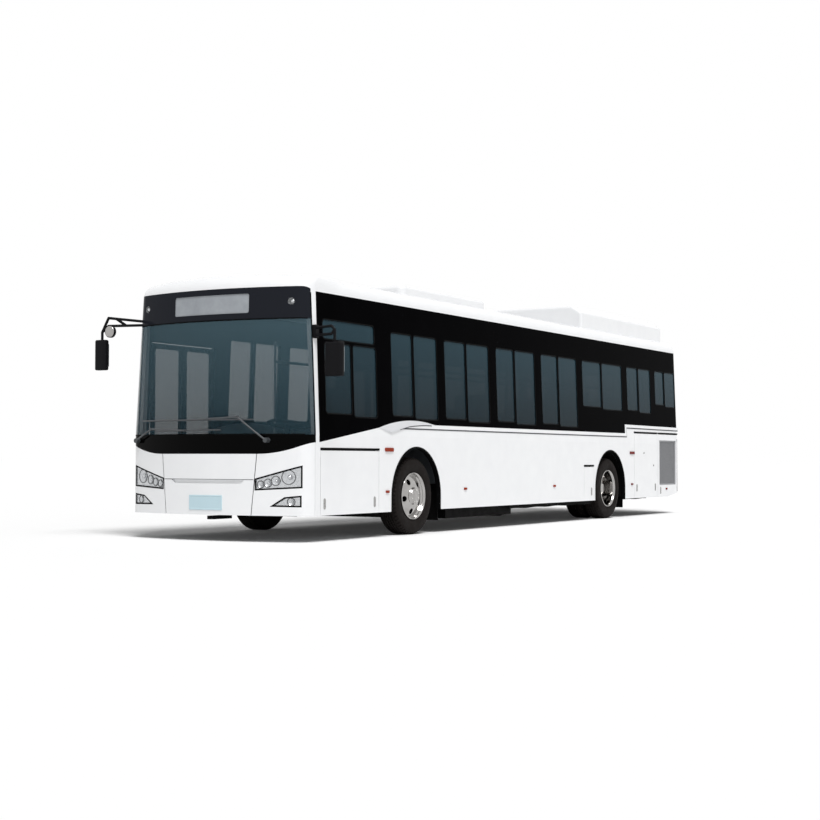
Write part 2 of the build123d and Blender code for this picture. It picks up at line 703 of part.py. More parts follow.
# Raised floor over the rear axle and engine, with its riser and two steps down to the low floor.
STEP_HALF = 300
STEP_DEPTH = 250
STEP_RISE = (RAISED_FLOOR_Z - FLOOR_Z) / 3
with BuildPart() as raised_floor:
    with BuildSketch(SIDE_PLANE):
        with BuildLine():
            Polyline(
                (RISER_Y, LOW_FLOOR_UNDER_Z),
                (RISER_Y, RAISED_FLOOR_Z),
                (LENGTH, RAISED_FLOOR_Z),
                (LENGTH, RAISED_FLOOR_UNDER_Z),
                (RISER_Y + FLOOR_T, RAISED_FLOOR_UNDER_Z),
                (RISER_Y + FLOOR_T, LOW_FLOOR_UNDER_Z),
                close=True,
            )
        make_face()
    extrude(amount=REACH, both=True)
    with BuildSketch(SIDE_PLANE):
        with BuildLine():
            Polyline(
                (RISER_Y, FLOOR_Z),
                (RISER_Y, FLOOR_Z + 2 * STEP_RISE),
                (RISER_Y - STEP_DEPTH, FLOOR_Z + 2 * STEP_RISE),
                (RISER_Y - STEP_DEPTH, FLOOR_Z + STEP_RISE),
                (RISER_Y - 2 * STEP_DEPTH, FLOOR_Z + STEP_RISE),
                (RISER_Y - 2 * STEP_DEPTH, FLOOR_Z),
                close=True,
            )
        make_face()
    extrude(amount=STEP_HALF, both=True)
    add(INNER, mode=Mode.INTERSECT)
    with BuildSketch(Plane.XY):
        wheel_box_shapes((WHEELBASE,), WHEEL_BOX_WALL)
    extrude(amount=WHEEL_BOX_Z, mode=Mode.SUBTRACT)
save(raised_floor, "raised_floor")

# Driver's platform on the left of the low floor.
with BuildPart() as driver_platform:
    with BuildSketch(SIDE_PLANE.offset(CAB_X)):
        with Locations(((CABIN_FRONT_Y + CAB_REAR_Y) / 2, (FLOOR_Z + CAB_FLOOR_Z) / 2)):
            Rectangle(CAB_REAR_Y - CABIN_FRONT_Y, CAB_FLOOR_Z - FLOOR_Z)
    extrude(amount=REACH)
    add(INNER, mode=Mode.INTERSECT)
save(driver_platform, "driver_platform")

# Underframe: ladder rails below the low floor, higher rails over the rear axle, side trays.
RAIL_X = 430
RAIL_WIDTH = 90
RAIL_LOW_Z = 230
FRONT_RAIL_Z = 285
REAR_RAIL_Z = 830
TOW_REACH = 230
TOW_R = 50
TOW_T = 40
TOW_BORE_R = 22
TRAY = (980, 2900, 165)
TRAY_X = (640, 1140)
Ladder = namedtuple("Ladder", "front rear low top crosses")
LADDERS = (
    Ladder(-2250, -760, FRONT_RAIL_Z, LOW_FLOOR_UNDER_Z, 2),
    Ladder(760, 4900, RAIL_LOW_Z, LOW_FLOOR_UNDER_Z, 4),
    Ladder(5030, 9230, REAR_RAIL_Z, RAISED_FLOOR_UNDER_Z, 3),
)
with BuildPart() as underframe:
    for ladder in LADDERS:
        length = ladder.rear - ladder.front
        pitch = (length - RAIL_WIDTH) / (ladder.crosses - 1)
        with BuildSketch(Plane.XY.offset(ladder.low)):
            with Locations((0, FRONT_AXLE_Y + (ladder.front + ladder.rear) / 2)):
                with GridLocations(2 * RAIL_X, 0, 2, 1):
                    Rectangle(RAIL_WIDTH, length)
                with GridLocations(0, pitch, 1, ladder.crosses):
                    Rectangle(2 * RAIL_X, RAIL_WIDTH)
        extrude(amount=ladder.top - ladder.low)
    with BuildSketch(Plane.XY.offset(RAIL_LOW_Z)):
        with Locations((0, FRONT_AXLE_Y + (TRAY[0] + TRAY[1]) / 2)):
            Rectangle(2 * TRAY_X[0], RAIL_WIDTH)
    extrude(amount=LOW_FLOOR_UNDER_Z - RAIL_LOW_Z)
    with BuildSketch(Plane.XY.offset(TRAY[2])):
        with Locations((0, FRONT_AXLE_Y + (TRAY[0] + TRAY[1]) / 2)):
            with GridLocations(TRAY_X[0] + TRAY_X[1], 0, 2, 1):
                Rectangle(TRAY_X[1] - TRAY_X[0], TRAY[1] - TRAY[0])
    extrude(amount=LOW_FLOOR_UNDER_Z - TRAY[2])
    with BuildSketch(Plane.XY.offset(FRONT_RAIL_Z - TOW_T)):
        with Locations((0, FRONT_AXLE_Y + LADDERS[0].front + (RAIL_WIDTH - TOW_REACH) / 2)):
            Rectangle(2 * TOW_R, TOW_REACH + RAIL_WIDTH)
        with Locations((0, FRONT_AXLE_Y + LADDERS[0].front - TOW_REACH)):
            Circle(TOW_R)
            Circle(TOW_BORE_R, mode=Mode.SUBTRACT)
    extrude(amount=TOW_T)
save(underframe, "underframe")

# Front axle: dropped beam below the low floor with a fork for each kingpin.
KINGPIN_R = 20
FORK_R = 45
FORK_LOW_Z = (337, 377)
FORK_TOP_Z = (585, 625)
FORK_WEB_X = (835, 865)
FORK_WEB_HALF = 25
BEAM_HALF = 45
BEAM_Z = (205, 295)
SPRING_PAD_X = 480
SPRING_PAD_R = 80
with BuildPart() as front_axle:
    with BuildSketch(Plane.XY.offset(BEAM_Z[0])):
        with Locations((0, FRONT_AXLE_Y)):
            Rectangle(2 * FORK_WEB_X[1], 2 * BEAM_HALF)
    extrude(amount=BEAM_Z[1] - BEAM_Z[0])
    with BuildSketch(Plane.XY.offset(BEAM_Z[1])):
        with Locations((-SPRING_PAD_X, FRONT_AXLE_Y), (SPRING_PAD_X, FRONT_AXLE_Y)):
            Circle(SPRING_PAD_R)
    extrude(amount=LOW_FLOOR_UNDER_Z - BEAM_Z[1])
    for side in (1, -1):
        with BuildSketch(Plane.XY.offset(BEAM_Z[1])):
            with Locations((side * (FORK_WEB_X[0] + FORK_WEB_X[1]) / 2, FRONT_AXLE_Y)):
                Rectangle(FORK_WEB_X[1] - FORK_WEB_X[0], 2 * FORK_WEB_HALF)
        extrude(amount=FORK_TOP_Z[1] - BEAM_Z[1])
        for low, top in (FORK_LOW_Z, FORK_TOP_Z):
            with BuildSketch(Plane.XY.offset(low)):
                with Locations((side * (FORK_WEB_X[0] + KINGPIN_X) / 2, FRONT_AXLE_Y)):
                    Rectangle(KINGPIN_X - FORK_WEB_X[0], 2 * FORK_WEB_HALF)
                with Locations((side * KINGPIN_X, FRONT_AXLE_Y)):
                    Circle(FORK_R)
                    Circle(KINGPIN_R + RUNNING_GAP, mode=Mode.SUBTRACT)
            extrude(amount=top - low)
save(front_axle, "front_axle")

# Knuckles: kingpin, boss, wheel spindle and a steering arm with the track rod's pin.
SPINDLE_R = 45
SPINDLE_X = 1165
ARM_LENGTH = 220
ARM_HALF = 20
ARM_T = 24
TRACK_PIN_R = 12
TRACK_ROD_R = 18
TRACK_ROD_Z = 258
TRACK_EYE_R = 30
BOSS_LOW_Z = FORK_LOW_Z[1] + RUNNING_GAP
for side, label in ((1, "knuckle_left"), (-1, "knuckle_right")):
    with BuildPart() as knuckle:
        with BuildSketch(Plane.XY.offset(BOSS_LOW_Z)):
            with Locations((side * KINGPIN_X, FRONT_AXLE_Y)):
                Circle(FORK_R)
        extrude(amount=FORK_TOP_Z[0] - RUNNING_GAP - BOSS_LOW_Z)
        with BuildSketch(Plane.XY.offset(FORK_LOW_Z[0])):
            with Locations((side * KINGPIN_X, FRONT_AXLE_Y)):
                Circle(KINGPIN_R)
        extrude(amount=FORK_TOP_Z[1] - FORK_LOW_Z[0])
        with BuildSketch(Plane.YZ.offset(side * KINGPIN_X)):
            with Locations((FRONT_AXLE_Y, TYRE_R)):
                Circle(SPINDLE_R)
        extrude(amount=side * (SPINDLE_X - KINGPIN_X))
        with BuildSketch(Plane.XY.offset(BOSS_LOW_Z)):
            with Locations((side * KINGPIN_X, FRONT_AXLE_Y + ARM_LENGTH / 2)):
                Rectangle(2 * ARM_HALF, ARM_LENGTH)
            with Locations((side * KINGPIN_X, FRONT_AXLE_Y + ARM_LENGTH)):
                Circle(ARM_HALF)
        extrude(amount=ARM_T)
        with BuildSketch(Plane.XY.offset(TRACK_ROD_Z - TRACK_ROD_R)):
            with Locations((side * KINGPIN_X, FRONT_AXLE_Y + ARM_LENGTH)):
                Circle(TRACK_PIN_R)
        extrude(amount=BOSS_LOW_Z - TRACK_ROD_Z + TRACK_ROD_R)
    save(knuckle, label)

# Track rod between the two steering arms, with an eye on each pin.
with BuildPart() as track_rod:
    with BuildSketch(Plane.YZ):
        with Locations((FRONT_AXLE_Y + ARM_LENGTH, TRACK_ROD_Z)):
            Circle(TRACK_ROD_R)
    extrude(amount=KINGPIN_X, both=True)
    pins = ((-KINGPIN_X, FRONT_AXLE_Y + ARM_LENGTH), (KINGPIN_X, FRONT_AXLE_Y + ARM_LENGTH))
    with BuildSketch(Plane.XY.offset(TRACK_ROD_Z - TRACK_ROD_R)):
        with Locations(*pins):
            Circle(TRACK_EYE_R)
    extrude(amount=2 * TRACK_ROD_R)
    with BuildSketch(Plane.XY.offset(TRACK_ROD_Z - TRACK_EYE_R)):
        with Locations(*pins):
            Circle(TRACK_PIN_R + RUNNING_GAP)
    extrude(amount=2 * TRACK_EYE_R, mode=Mode.SUBTRACT)
save(track_rod, "track_rod")

# Rear axle: tube with the differential and two air springs up to the rails.
AXLE_TUBE_R = 75
AXLE_TUBE_X = 600
REAR_SPINDLE_R = 60
REAR_SPINDLE_X = 895
DIFFERENTIAL_R = 200
DIFFERENTIAL_HALF = 170
SPRING_R = 120
REAR_AXLE_Y = FRONT_AXLE_Y + WHEELBASE
with BuildPart() as rear_axle:
    with BuildSketch(Plane.YZ):
        with Locations((REAR_AXLE_Y, TYRE_R)):
            Circle(AXLE_TUBE_R)
    extrude(amount=AXLE_TUBE_X, both=True)
    with BuildSketch(Plane.YZ):
        with Locations((REAR_AXLE_Y, TYRE_R)):
            Circle(REAR_SPINDLE_R)
    extrude(amount=REAR_SPINDLE_X, both=True)
    with BuildSketch(Plane.YZ):
        with Locations((REAR_AXLE_Y, TYRE_R)):
            Circle(DIFFERENTIAL_R)
    extrude(amount=DIFFERENTIAL_HALF, both=True)
    rims = rear_axle.edges().filter_by(GeomType.CIRCLE)
    fillet(rims.filter_by(lambda rim: rim.radius == DIFFERENTIAL_R), DIFFERENTIAL_HALF / 2)
    with BuildSketch(Plane.XY.offset(TYRE_R)):
        with Locations((-RAIL_X, REAR_AXLE_Y), (RAIL_X, REAR_AXLE_Y)):
            Circle(SPRING_R)
    extrude(amount=REAR_RAIL_Z - TYRE_R)
save(rear_axle, "rear_axle")

# Engine: one block hung below the rear rails.
ENGINE = (7450, 8950, 330)
ENGINE_HALF = 440
with BuildPart() as engine:
    with BuildSketch(Plane.XY.offset(ENGINE[2])):
        with Locations((0, FRONT_AXLE_Y + (ENGINE[0] + ENGINE[1]) / 2)):
            RectangleRounded(2 * ENGINE_HALF, ENGINE[1] - ENGINE[0], PANE_R)
    extrude(amount=REAR_RAIL_Z - ENGINE[2])
save(engine, "engine")

# Tyres and wheels: dished twin wheels behind, domed single wheels in front.
TYRE_SIDE_R = 370
TYRE_SHOULDER_R = 456
TYRE_SHOULDER_HALF = 124
TYRE_CROWN_HALF = 88
HUB_R = 110
HAND_HOLE_R = 36
HAND_HOLE_AT_R = 192
HAND_HOLES = 5
HAND_HOLE_START = 118
SPINDLE_CLEAR = 10
Profile = namedtuple("Profile", "out radius")
FRONT_DISC_OUTSIDE = (
    Profile(-20, 253),
    Profile(20, 150),
    Profile(24, HUB_R),
    Profile(52, HUB_R - 14),
    Profile(58, 0),
)
FRONT_DISC_INSIDE = (Profile(-12, HUB_R), Profile(-8, 150), Profile(-45, RIM_R - RIM_WALL))
FRONT_HUB_INSET = 15
REAR_DISC_HALF = 15
REAR_DISC_OUTSIDE = (
    Profile(40, 250),
    Profile(REAR_DISC_HALF, 235),
    Profile(REAR_DISC_HALF, 150),
    Profile(45, HUB_R + 20),
    Profile(170, HUB_R - 10),
    Profile(195, HUB_R - 40),
    Profile(200, 0),
)
for side, hand in ((1, "left"), (-1, "right")):
    for axle_y, end, centres in (
        (FRONT_AXLE_Y, "tyre_front", (WHEEL_X,)),
        (REAR_AXLE_Y, "tyres_rear", (WHEEL_X, WHEEL_X - TWIN_PITCH)),
    ):
        hub_plane = Plane(origin=(0, axle_y, TYRE_R), x_dir=(1, 0, 0), z_dir=(0, -1, 0))
        with BuildPart() as tyre:
            for centre in centres:
                with BuildSketch(hub_plane):
                    with BuildLine():
                        Polyline(
                            (side * centre - RIM_WIDTH / 2, RIM_R),
                            (side * centre - TYRE_WIDTH / 2, TYRE_SIDE_R),
                            (side * centre - TYRE_SHOULDER_HALF, TYRE_SHOULDER_R),
                            (side * centre - TYRE_CROWN_HALF, TYRE_R),
                            (side * centre + TYRE_CROWN_HALF, TYRE_R),
                            (side * centre + TYRE_SHOULDER_HALF, TYRE_SHOULDER_R),
                            (side * centre + TYRE_WIDTH / 2, TYRE_SIDE_R),
                            (side * centre + RIM_WIDTH / 2, RIM_R),
                            close=True,
                        )
                    make_face()
                revolve(axis=Axis((0, axle_y, TYRE_R), (1, 0, 0)))
        save(tyre, f"{end}_{hand}")

    hub_plane = Plane(origin=(0, FRONT_AXLE_Y, TYRE_R), x_dir=(side, 0, 0), z_dir=(0, -side, 0))
    rim_in = WHEEL_X - RIM_WIDTH / 2
    rim_out = WHEEL_X + RIM_WIDTH / 2
    with BuildPart() as front_wheel:
        with BuildSketch(hub_plane):
            with BuildLine():
                Polyline(
                    (rim_in, RIM_R),
                    (rim_out, RIM_R),
                    (rim_out, RIM_R - RIM_WALL),
                    *((rim_out + point.out, point.radius) for point in FRONT_DISC_OUTSIDE),
                    (SPINDLE_X + SPINDLE_CLEAR, 0),
                    (SPINDLE_X + SPINDLE_CLEAR, SPINDLE_R + RUNNING_GAP),
                    (rim_in + FRONT_HUB_INSET, SPINDLE_R + RUNNING_GAP),
                    (rim_in + FRONT_HUB_INSET, HUB_R),
                    *((rim_out + point.out, point.radius) for point in FRONT_DISC_INSIDE),
                    (rim_in, RIM_R - RIM_WALL),
                    close=True,
                )
            make_face()
        revolve(axis=Axis((0, FRONT_AXLE_Y, TYRE_R), (1, 0, 0)))
        hole_at = (side * rim_in, FRONT_AXLE_Y, TYRE_R)
        hole_plane = Plane(origin=hole_at, x_dir=(0, 1, 0), z_dir=(side, 0, 0))
        with BuildSketch(hole_plane):
            with PolarLocations(HAND_HOLE_AT_R, HAND_HOLES, start_angle=HAND_HOLE_START):
                Circle(HAND_HOLE_R)
        extrude(amount=RIM_WIDTH + HUB_R, mode=Mode.SUBTRACT)
    save(front_wheel, f"wheel_front_{hand}")

    hub_plane = Plane(origin=(0, REAR_AXLE_Y, TYRE_R), x_dir=(side, 0, 0), z_dir=(0, -side, 0))
    twin_in = WHEEL_X - TWIN_PITCH - RIM_WIDTH / 2
    disc_x = WHEEL_X - TWIN_PITCH / 2
    with BuildPart() as rear_wheel:
        with BuildSketch(hub_plane):
            with BuildLine():
                Polyline(
                    (twin_in, RIM_R),
                    (rim_out, RIM_R),
                    (rim_out, RIM_R - RIM_WALL),
                    *((disc_x + point.out, point.radius) for point in REAR_DISC_OUTSIDE),
                    (REAR_SPINDLE_X + SPINDLE_CLEAR, 0),
                    (REAR_SPINDLE_X + SPINDLE_CLEAR, REAR_SPINDLE_R + RUNNING_GAP),
                    (twin_in, REAR_SPINDLE_R + RUNNING_GAP),
                    (twin_in, HUB_R),
                    (disc_x - REAR_DISC_HALF, HUB_R),
                    (disc_x - REAR_DISC_HALF, RIM_R - RIM_WALL),
                    (twin_in, RIM_R - RIM_WALL),
                    close=True,
                )
            make_face()
        revolve(axis=Axis((0, REAR_AXLE_Y, TYRE_R), (1, 0, 0)))
        hole_at = (side * disc_x, REAR_AXLE_Y, TYRE_R)
        hole_plane = Plane(origin=hole_at, x_dir=(0, 1, 0), z_dir=(side, 0, 0))
        with BuildSketch(hole_plane):
            with PolarLocations(HAND_HOLE_AT_R, HAND_HOLES, start_angle=HAND_HOLE_START):
                Circle(HAND_HOLE_R)
        extrude(amount=2 * RIM_WALL, both=True, mode=Mode.SUBTRACT)
    save(rear_wheel, f"wheels_rear_{hand}")

# Mud flaps: on the rear wall of the front wheel boxes, and hung from the raised floor behind.
MUDFLAP_X = (970, 1210)
MUDFLAP_LOW_Z = 155
MUDFLAP_FRONT_TOP_Z = 620
MUDFLAP_T = 12
with BuildPart() as mudflaps:
    for axle, top in ((0, MUDFLAP_FRONT_TOP_Z), (WHEELBASE, RAISED_FLOOR_UNDER_Z)):
        with BuildSketch(Plane.XZ.offset(-FRONT_AXLE_Y - axle - WHEEL_BOX_HALF)):
            with Locations((0, (MUDFLAP_LOW_Z + top) / 2)):
                with GridLocations(sum(MUDFLAP_X), 0, 2, 1):
                    Rectangle(MUDFLAP_X[1] - MUDFLAP_X[0], top - MUDFLAP_LOW_Z)
        extrude(amount=-MUDFLAP_T if axle else MUDFLAP_T)
save(mudflaps, "mudflaps")

# Side marker lamps standing a little proud of the lower sides.
Marker = namedtuple("Marker", "y z length height")
MARKERS = (
    Marker(-671, 1048, 190, 46),
    Marker(-710, 544, 70, 30),
    Marker(1279, 549, 70, 30),
    Marker(4064, 547, 70, 30),
    Marker(7113, 1047, 190, 46),
    Marker(7109, 532, 70, 30),
)
MARKER_T = 14
with BuildPart() as marker_lamps:
    for side in (1, -1):
        with BuildSketch(SIDE_PLANE.offset(side * HALF_WIDTH)):
            for marker in MARKERS:
                with Locations((marker.y, marker.z)):
                    RectangleRounded(marker.length, marker.height, marker.height / 3)
        extrude(amount=side * MARKER_T)
save(marker_lamps, "marker_lamps")

# Wipers: a bent arm and a blade each, following the bow of the screen.
Wiper = namedtuple("Wiper", "pivot elbow blade_start blade_end")
WIPERS = (
    Wiper((807, 1144), (455, 1404), (630, 1375), (-1030, 1375)),
    Wiper((-1120, 1146), (-833, 1277), (-790, 1252), (220, 1262)),
)
WIPER_PIVOT_R = 28
WIPER_STAND = 52
WIPER_ARM_R = 10
WIPER_KNEE_R = 15
WIPER_BLADE_R = 9
WIPER_BLADE_STAND = 14
WIPER_CLIP_R = 13
WIPER_CLIP_STAND = 42
with BuildPart() as wipers:
    for wiper in WIPERS:
        centre = tuple((a + b) / 2 for a, b in zip(wiper.blade_start, wiper.blade_end))
        runs = (
            (wiper.pivot, wiper.elbow, WIPER_STAND, WIPER_STAND, WIPER_ARM_R),
            (wiper.elbow, centre, WIPER_STAND, WIPER_CLIP_STAND, WIPER_ARM_R),
            (wiper.blade_start, wiper.blade_end, WIPER_BLADE_STAND, WIPER_BLADE_STAND, WIPER_BLADE_R),
        )
        for start, end, stand_start, stand_end, radius in runs:
            middle = ((start[0] + end[0]) / 2, (start[1] + end[1]) / 2)
            stands = (stand_start, (stand_start + stand_end) / 2, stand_end)
            places = zip((start, middle, end), stands)
            points = sorted((x, front_y(x, z, stand), z) for (x, z), stand in places)
            with BuildLine():
                run = ThreePointArc(*points)
            with BuildSketch(Plane(origin=run @ 0, z_dir=run % 0)):
                Circle(radius)
            sweep(path=run)
        joints = (
            (wiper.pivot, -WIPER_STAND, WIPER_STAND + WIPER_ARM_R, WIPER_PIVOT_R),
            (wiper.elbow, WIPER_STAND - WIPER_KNEE_R, WIPER_STAND + WIPER_KNEE_R, WIPER_KNEE_R),
            (centre, WIPER_BLADE_STAND, WIPER_CLIP_STAND, WIPER_CLIP_R),
        )
        for place, stand_low, stand_top, radius in joints:
            with BuildSketch(Plane.XZ.offset(-front_y(*place, stand_low))):
                with Locations(place):
                    Circle(radius)
            extrude(amount=stand_top - stand_low)
    add(OUTER, mode=Mode.SUBTRACT)
save(wipers, "wipers")

# Mirrors: a braced two-tube arm on the right, a loop on a pad on the left, rounded heads.
Head = namedtuple("Head", "x y z width depth height")
MIRROR_HEADS = (
    Head(-1515, -2650, 2160, 170, 90, 360),
    Head(1545, -2295, 2040, 230, 90, 380),
)
MIRROR_HEAD_R = 38
ROUND_MIRROR = (-1400, -2630, 2435)
ROUND_MIRROR_R = 70
ROUND_MIRROR_T = 40
with BuildPart() as mirror_heads:
    for head in MIRROR_HEADS:
        with BuildSketch(Plane.XY.offset(head.z - head.height / 2)):
            with Locations((head.x, FRONT_AXLE_Y + head.y)):
                RectangleRounded(head.width, head.depth, MIRROR_HEAD_R)
        extrude(amount=head.height)
    fillet(mirror_heads.edges().filter_by(Plane.XY), MIRROR_HEAD_R / 2)
    with BuildSketch(Plane.XZ.offset(-FRONT_AXLE_Y - ROUND_MIRROR[1])):
        with Locations((ROUND_MIRROR[0], ROUND_MIRROR[2])):
            Circle(ROUND_MIRROR_R)
    extrude(amount=ROUND_MIRROR_T / 2, both=True)
save(mirror_heads, "mirror_heads")

Tube = namedtuple("Tube", "start end")
MIRROR_TUBE_R = 16
MIRROR_TUBES = (
    Tube((-1150, -2300, 2570), (-1440, -2620, 2600)),
    Tube((-1150, -2300, 2528), (-1440, -2620, 2505)),
    Tube((-1300, -2466, 2516), (-1380, -2554, 2594)),
    Tube((-1440, -2620, 2600), (-1510, -2650, 2430)),
    Tube((-1440, -2620, 2505), (-1510, -2650, 2430)),
    Tube((-1510, -2650, 2430), (-1510, -2650, 2340)),
    Tube((1200, -2225, 2400), (1500, -2290, 2410)),
    Tube((1200, -2225, 2320), (1500, -2290, 2320)),
    Tube((1500, -2290, 2410), (1545, -2295, 2365)),
    Tube((1500, -2290, 2320), (1545, -2295, 2365)),
    Tube((1545, -2295, 2365), (1545, -2295, 2230)),
)
MIRROR_PAD_AT = (1225, -2225, 2362)
MIRROR_PAD = (90, 60, 150)
with BuildPart() as mirror_arms:
    with Locations(Vector(*MIRROR_PAD_AT) + Vector(0, FRONT_AXLE_Y, 0)):
        Box(*MIRROR_PAD)
    for tube in MIRROR_TUBES:
        start = Vector(*tube.start) + Vector(0, FRONT_AXLE_Y, 0)
        end = Vector(*tube.end) + Vector(0, FRONT_AXLE_Y, 0)
        with BuildSketch(Plane(origin=start, z_dir=end - start)):
            Circle(MIRROR_TUBE_R)
        extrude(amount=(end - start).length)
        with Locations(start, end):
            Sphere(MIRROR_TUBE_R)
    add(OUTER, mode=Mode.SUBTRACT)
    add(mirror_heads.part, mode=Mode.SUBTRACT)
save(mirror_arms, "mirror_arms")

# Roof units: a low cooling unit in front and a long chamfered housing over the tail.
POD_Y = (5600, 9080)
POD_HALF = 1040
POD_TOP_HALF = 868
POD_SIDE_Z = 3255
POD_TOP_Z = 3362
POD_EDGE_R = 40
with BuildPart() as roof_pod:
    with BuildSketch(Plane.XZ.offset(-FRONT_AXLE_Y - POD_Y[1])):
        with BuildLine():
            FilletPolyline(
                (-POD_HALF, EAVES_Z),
                (-POD_HALF, POD_SIDE_Z),
                (-POD_TOP_HALF, POD_TOP_Z),
                (POD_TOP_HALF, POD_TOP_Z),
                (POD_HALF, POD_SIDE_Z),
                (POD_HALF, EAVES_Z),
                radius=POD_EDGE_R,
            )
            Line((-POD_HALF, EAVES_Z), (POD_HALF, EAVES_Z))
        make_face()
    extrude(amount=POD_Y[1] - POD_Y[0])
    fillet(roof_pod.edges().filter_by(Axis.X).group_by(Axis.Z)[-1], POD_EDGE_R)
    add(OUTER, mode=Mode.SUBTRACT)
save(roof_pod, "roof_pod")

COOLER_Y = (200, 2500)
COOLER_HALF = 950
COOLER_Z = 3145
COOLER_R = 90
with BuildPart() as cooling_unit:
    with BuildSketch(Plane.XY.offset(EAVES_Z)):
        with Locations((0, FRONT_AXLE_Y + sum(COOLER_Y) / 2)):
            RectangleRounded(2 * COOLER_HALF, COOLER_Y[1] - COOLER_Y[0], COOLER_R)
    extrude(amount=COOLER_Z - EAVES_Z)
    fillet(cooling_unit.faces().sort_by(Axis.Z)[-1].edges(), COOLER_R / 2)
    add(OUTER, mode=Mode.SUBTRACT)
save(cooling_unit, "cooling_unit")

# Seats: moulded shells on a pedestal, from a table of places; the last row spans the saloon.
Seat = namedtuple("Seat", "x y floor width")
SEATS = (
    Seat(930, 1050, FLOOR_Z, 440),
    Seat(930, 1850, FLOOR_Z, 440),
    Seat(930, 2650, FLOOR_Z, 440),
    Seat(930, 3450, FLOOR_Z, 440),
    Seat(930, 4250, FLOOR_Z, 440),
    Seat(-930, 1350, FLOOR_Z, 440),
    Seat(-930, 4250, FLOOR_Z, 440),
    Seat(800, 5060, RAISED_FLOOR_Z, 760),
    Seat(800, 7000, RAISED_FLOOR_Z, 760),
    Seat(800, 7800, RAISED_FLOOR_Z, 760),
    Seat(-800, 5060, RAISED_FLOOR_Z, 760),
    Seat(-800, 7000, RAISED_FLOOR_Z, 760),
    Seat(-800, 7800, RAISED_FLOOR_Z, 760),
    Seat(0, 8620, RAISED_FLOOR_Z, 2300),
)
SEAT_DEPTH = 430
SEAT_HEIGHT = 450
SEAT_BACK = 980
SEAT_LEAN = 90
SEAT_T = 45
SEAT_LEG = (120, 320)
with BuildPart() as seats:
    for seat in SEATS:
        with BuildSketch(SIDE_PLANE.offset(seat.x)):
            with BuildLine():
                Polyline(
                    (seat.y, seat.floor + SEAT_HEIGHT - SEAT_T),
                    (seat.y, seat.floor + SEAT_HEIGHT),
                    (seat.y + SEAT_DEPTH - SEAT_T, seat.floor + SEAT_HEIGHT),
                    (seat.y + SEAT_DEPTH - SEAT_T + SEAT_LEAN, seat.floor + SEAT_BACK),
                    (seat.y + SEAT_DEPTH + SEAT_LEAN, seat.floor + SEAT_BACK),
                    (seat.y + SEAT_DEPTH, seat.floor + SEAT_HEIGHT - SEAT_T),
                    close=True,
                )
            make_face()
        extrude(amount=seat.width / 2, both=True)
        with BuildSketch(SIDE_PLANE.offset(seat.x)):
            with Locations((seat.y + sum(SEAT_LEG) / 2, seat.floor + (SEAT_HEIGHT - SEAT_T) / 2)):
                Rectangle(SEAT_LEG[1] - SEAT_LEG[0], SEAT_HEIGHT - SEAT_T)
        extrude(amount=seat.width / 4, both=True)
save(seats, "seats")

# Driver's place: seat, dashboard and steering wheel on the platform.
CAB_X_MIDDLE = 640
DRIVER_SEAT_Y = -1520
DRIVER_SEAT_HALF = 240
Corner = namedtuple("Corner", "back up")
DRIVER_SEAT_SIDE = (
    Corner(0, 360),
    Corner(0, 460),
    Corner(390, 440),
    Corner(490, 1180),
    Corner(590, 1180),
    Corner(500, 360),
)
DRIVER_SEAT_R = 30
DRIVER_BASE_SIZE = (300, 320)
DRIVER_BASE_BACK = 250
DRIVER_BASE_HEIGHT = 370
with BuildPart() as driver_seat:
    with BuildSketch(SIDE_PLANE.offset(CAB_X_MIDDLE)):
        with BuildLine():
            FilletPolyline(
                *((DRIVER_SEAT_Y + corner.back, CAB_FLOOR_Z + corner.up) for corner in DRIVER_SEAT_SIDE),
                radius=DRIVER_SEAT_R,
                close=True,
            )
        make_face()
    extrude(amount=DRIVER_SEAT_HALF, both=True)
    with BuildSketch(Plane.XY.offset(CAB_FLOOR_Z)):
        with Locations((CAB_X_MIDDLE, FRONT_AXLE_Y + DRIVER_SEAT_Y + DRIVER_BASE_BACK)):
            Rectangle(*DRIVER_BASE_SIZE)
    extrude(amount=DRIVER_BASE_HEIGHT)
save(driver_seat, "driver_seat")

DASH_X = (-330, 1170)
DASH_FRONT_Z = 1150
DASH_TOP = (-2200, 1215)
DASH_LIP = (-2090, 1080)
DASH_KNEE_Y = -2160
DASH_R = 40
with BuildPart() as dashboard:
    with BuildSketch(SIDE_PLANE.offset(DASH_X[0])):
        with BuildLine():
            FilletPolyline(
                (CABIN_FRONT_Y, CAB_FLOOR_Z),
                (CABIN_FRONT_Y, DASH_FRONT_Z),
                DASH_TOP,
                DASH_LIP,
                (DASH_KNEE_Y, CAB_FLOOR_Z),
                radius=DASH_R,
            )
            Line((DASH_KNEE_Y, CAB_FLOOR_Z), (CABIN_FRONT_Y, CAB_FLOOR_Z))
        make_face()
    extrude(amount=DASH_X[1] - DASH_X[0])
    add(INNER, mode=Mode.INTERSECT)
save(dashboard, "dashboard")

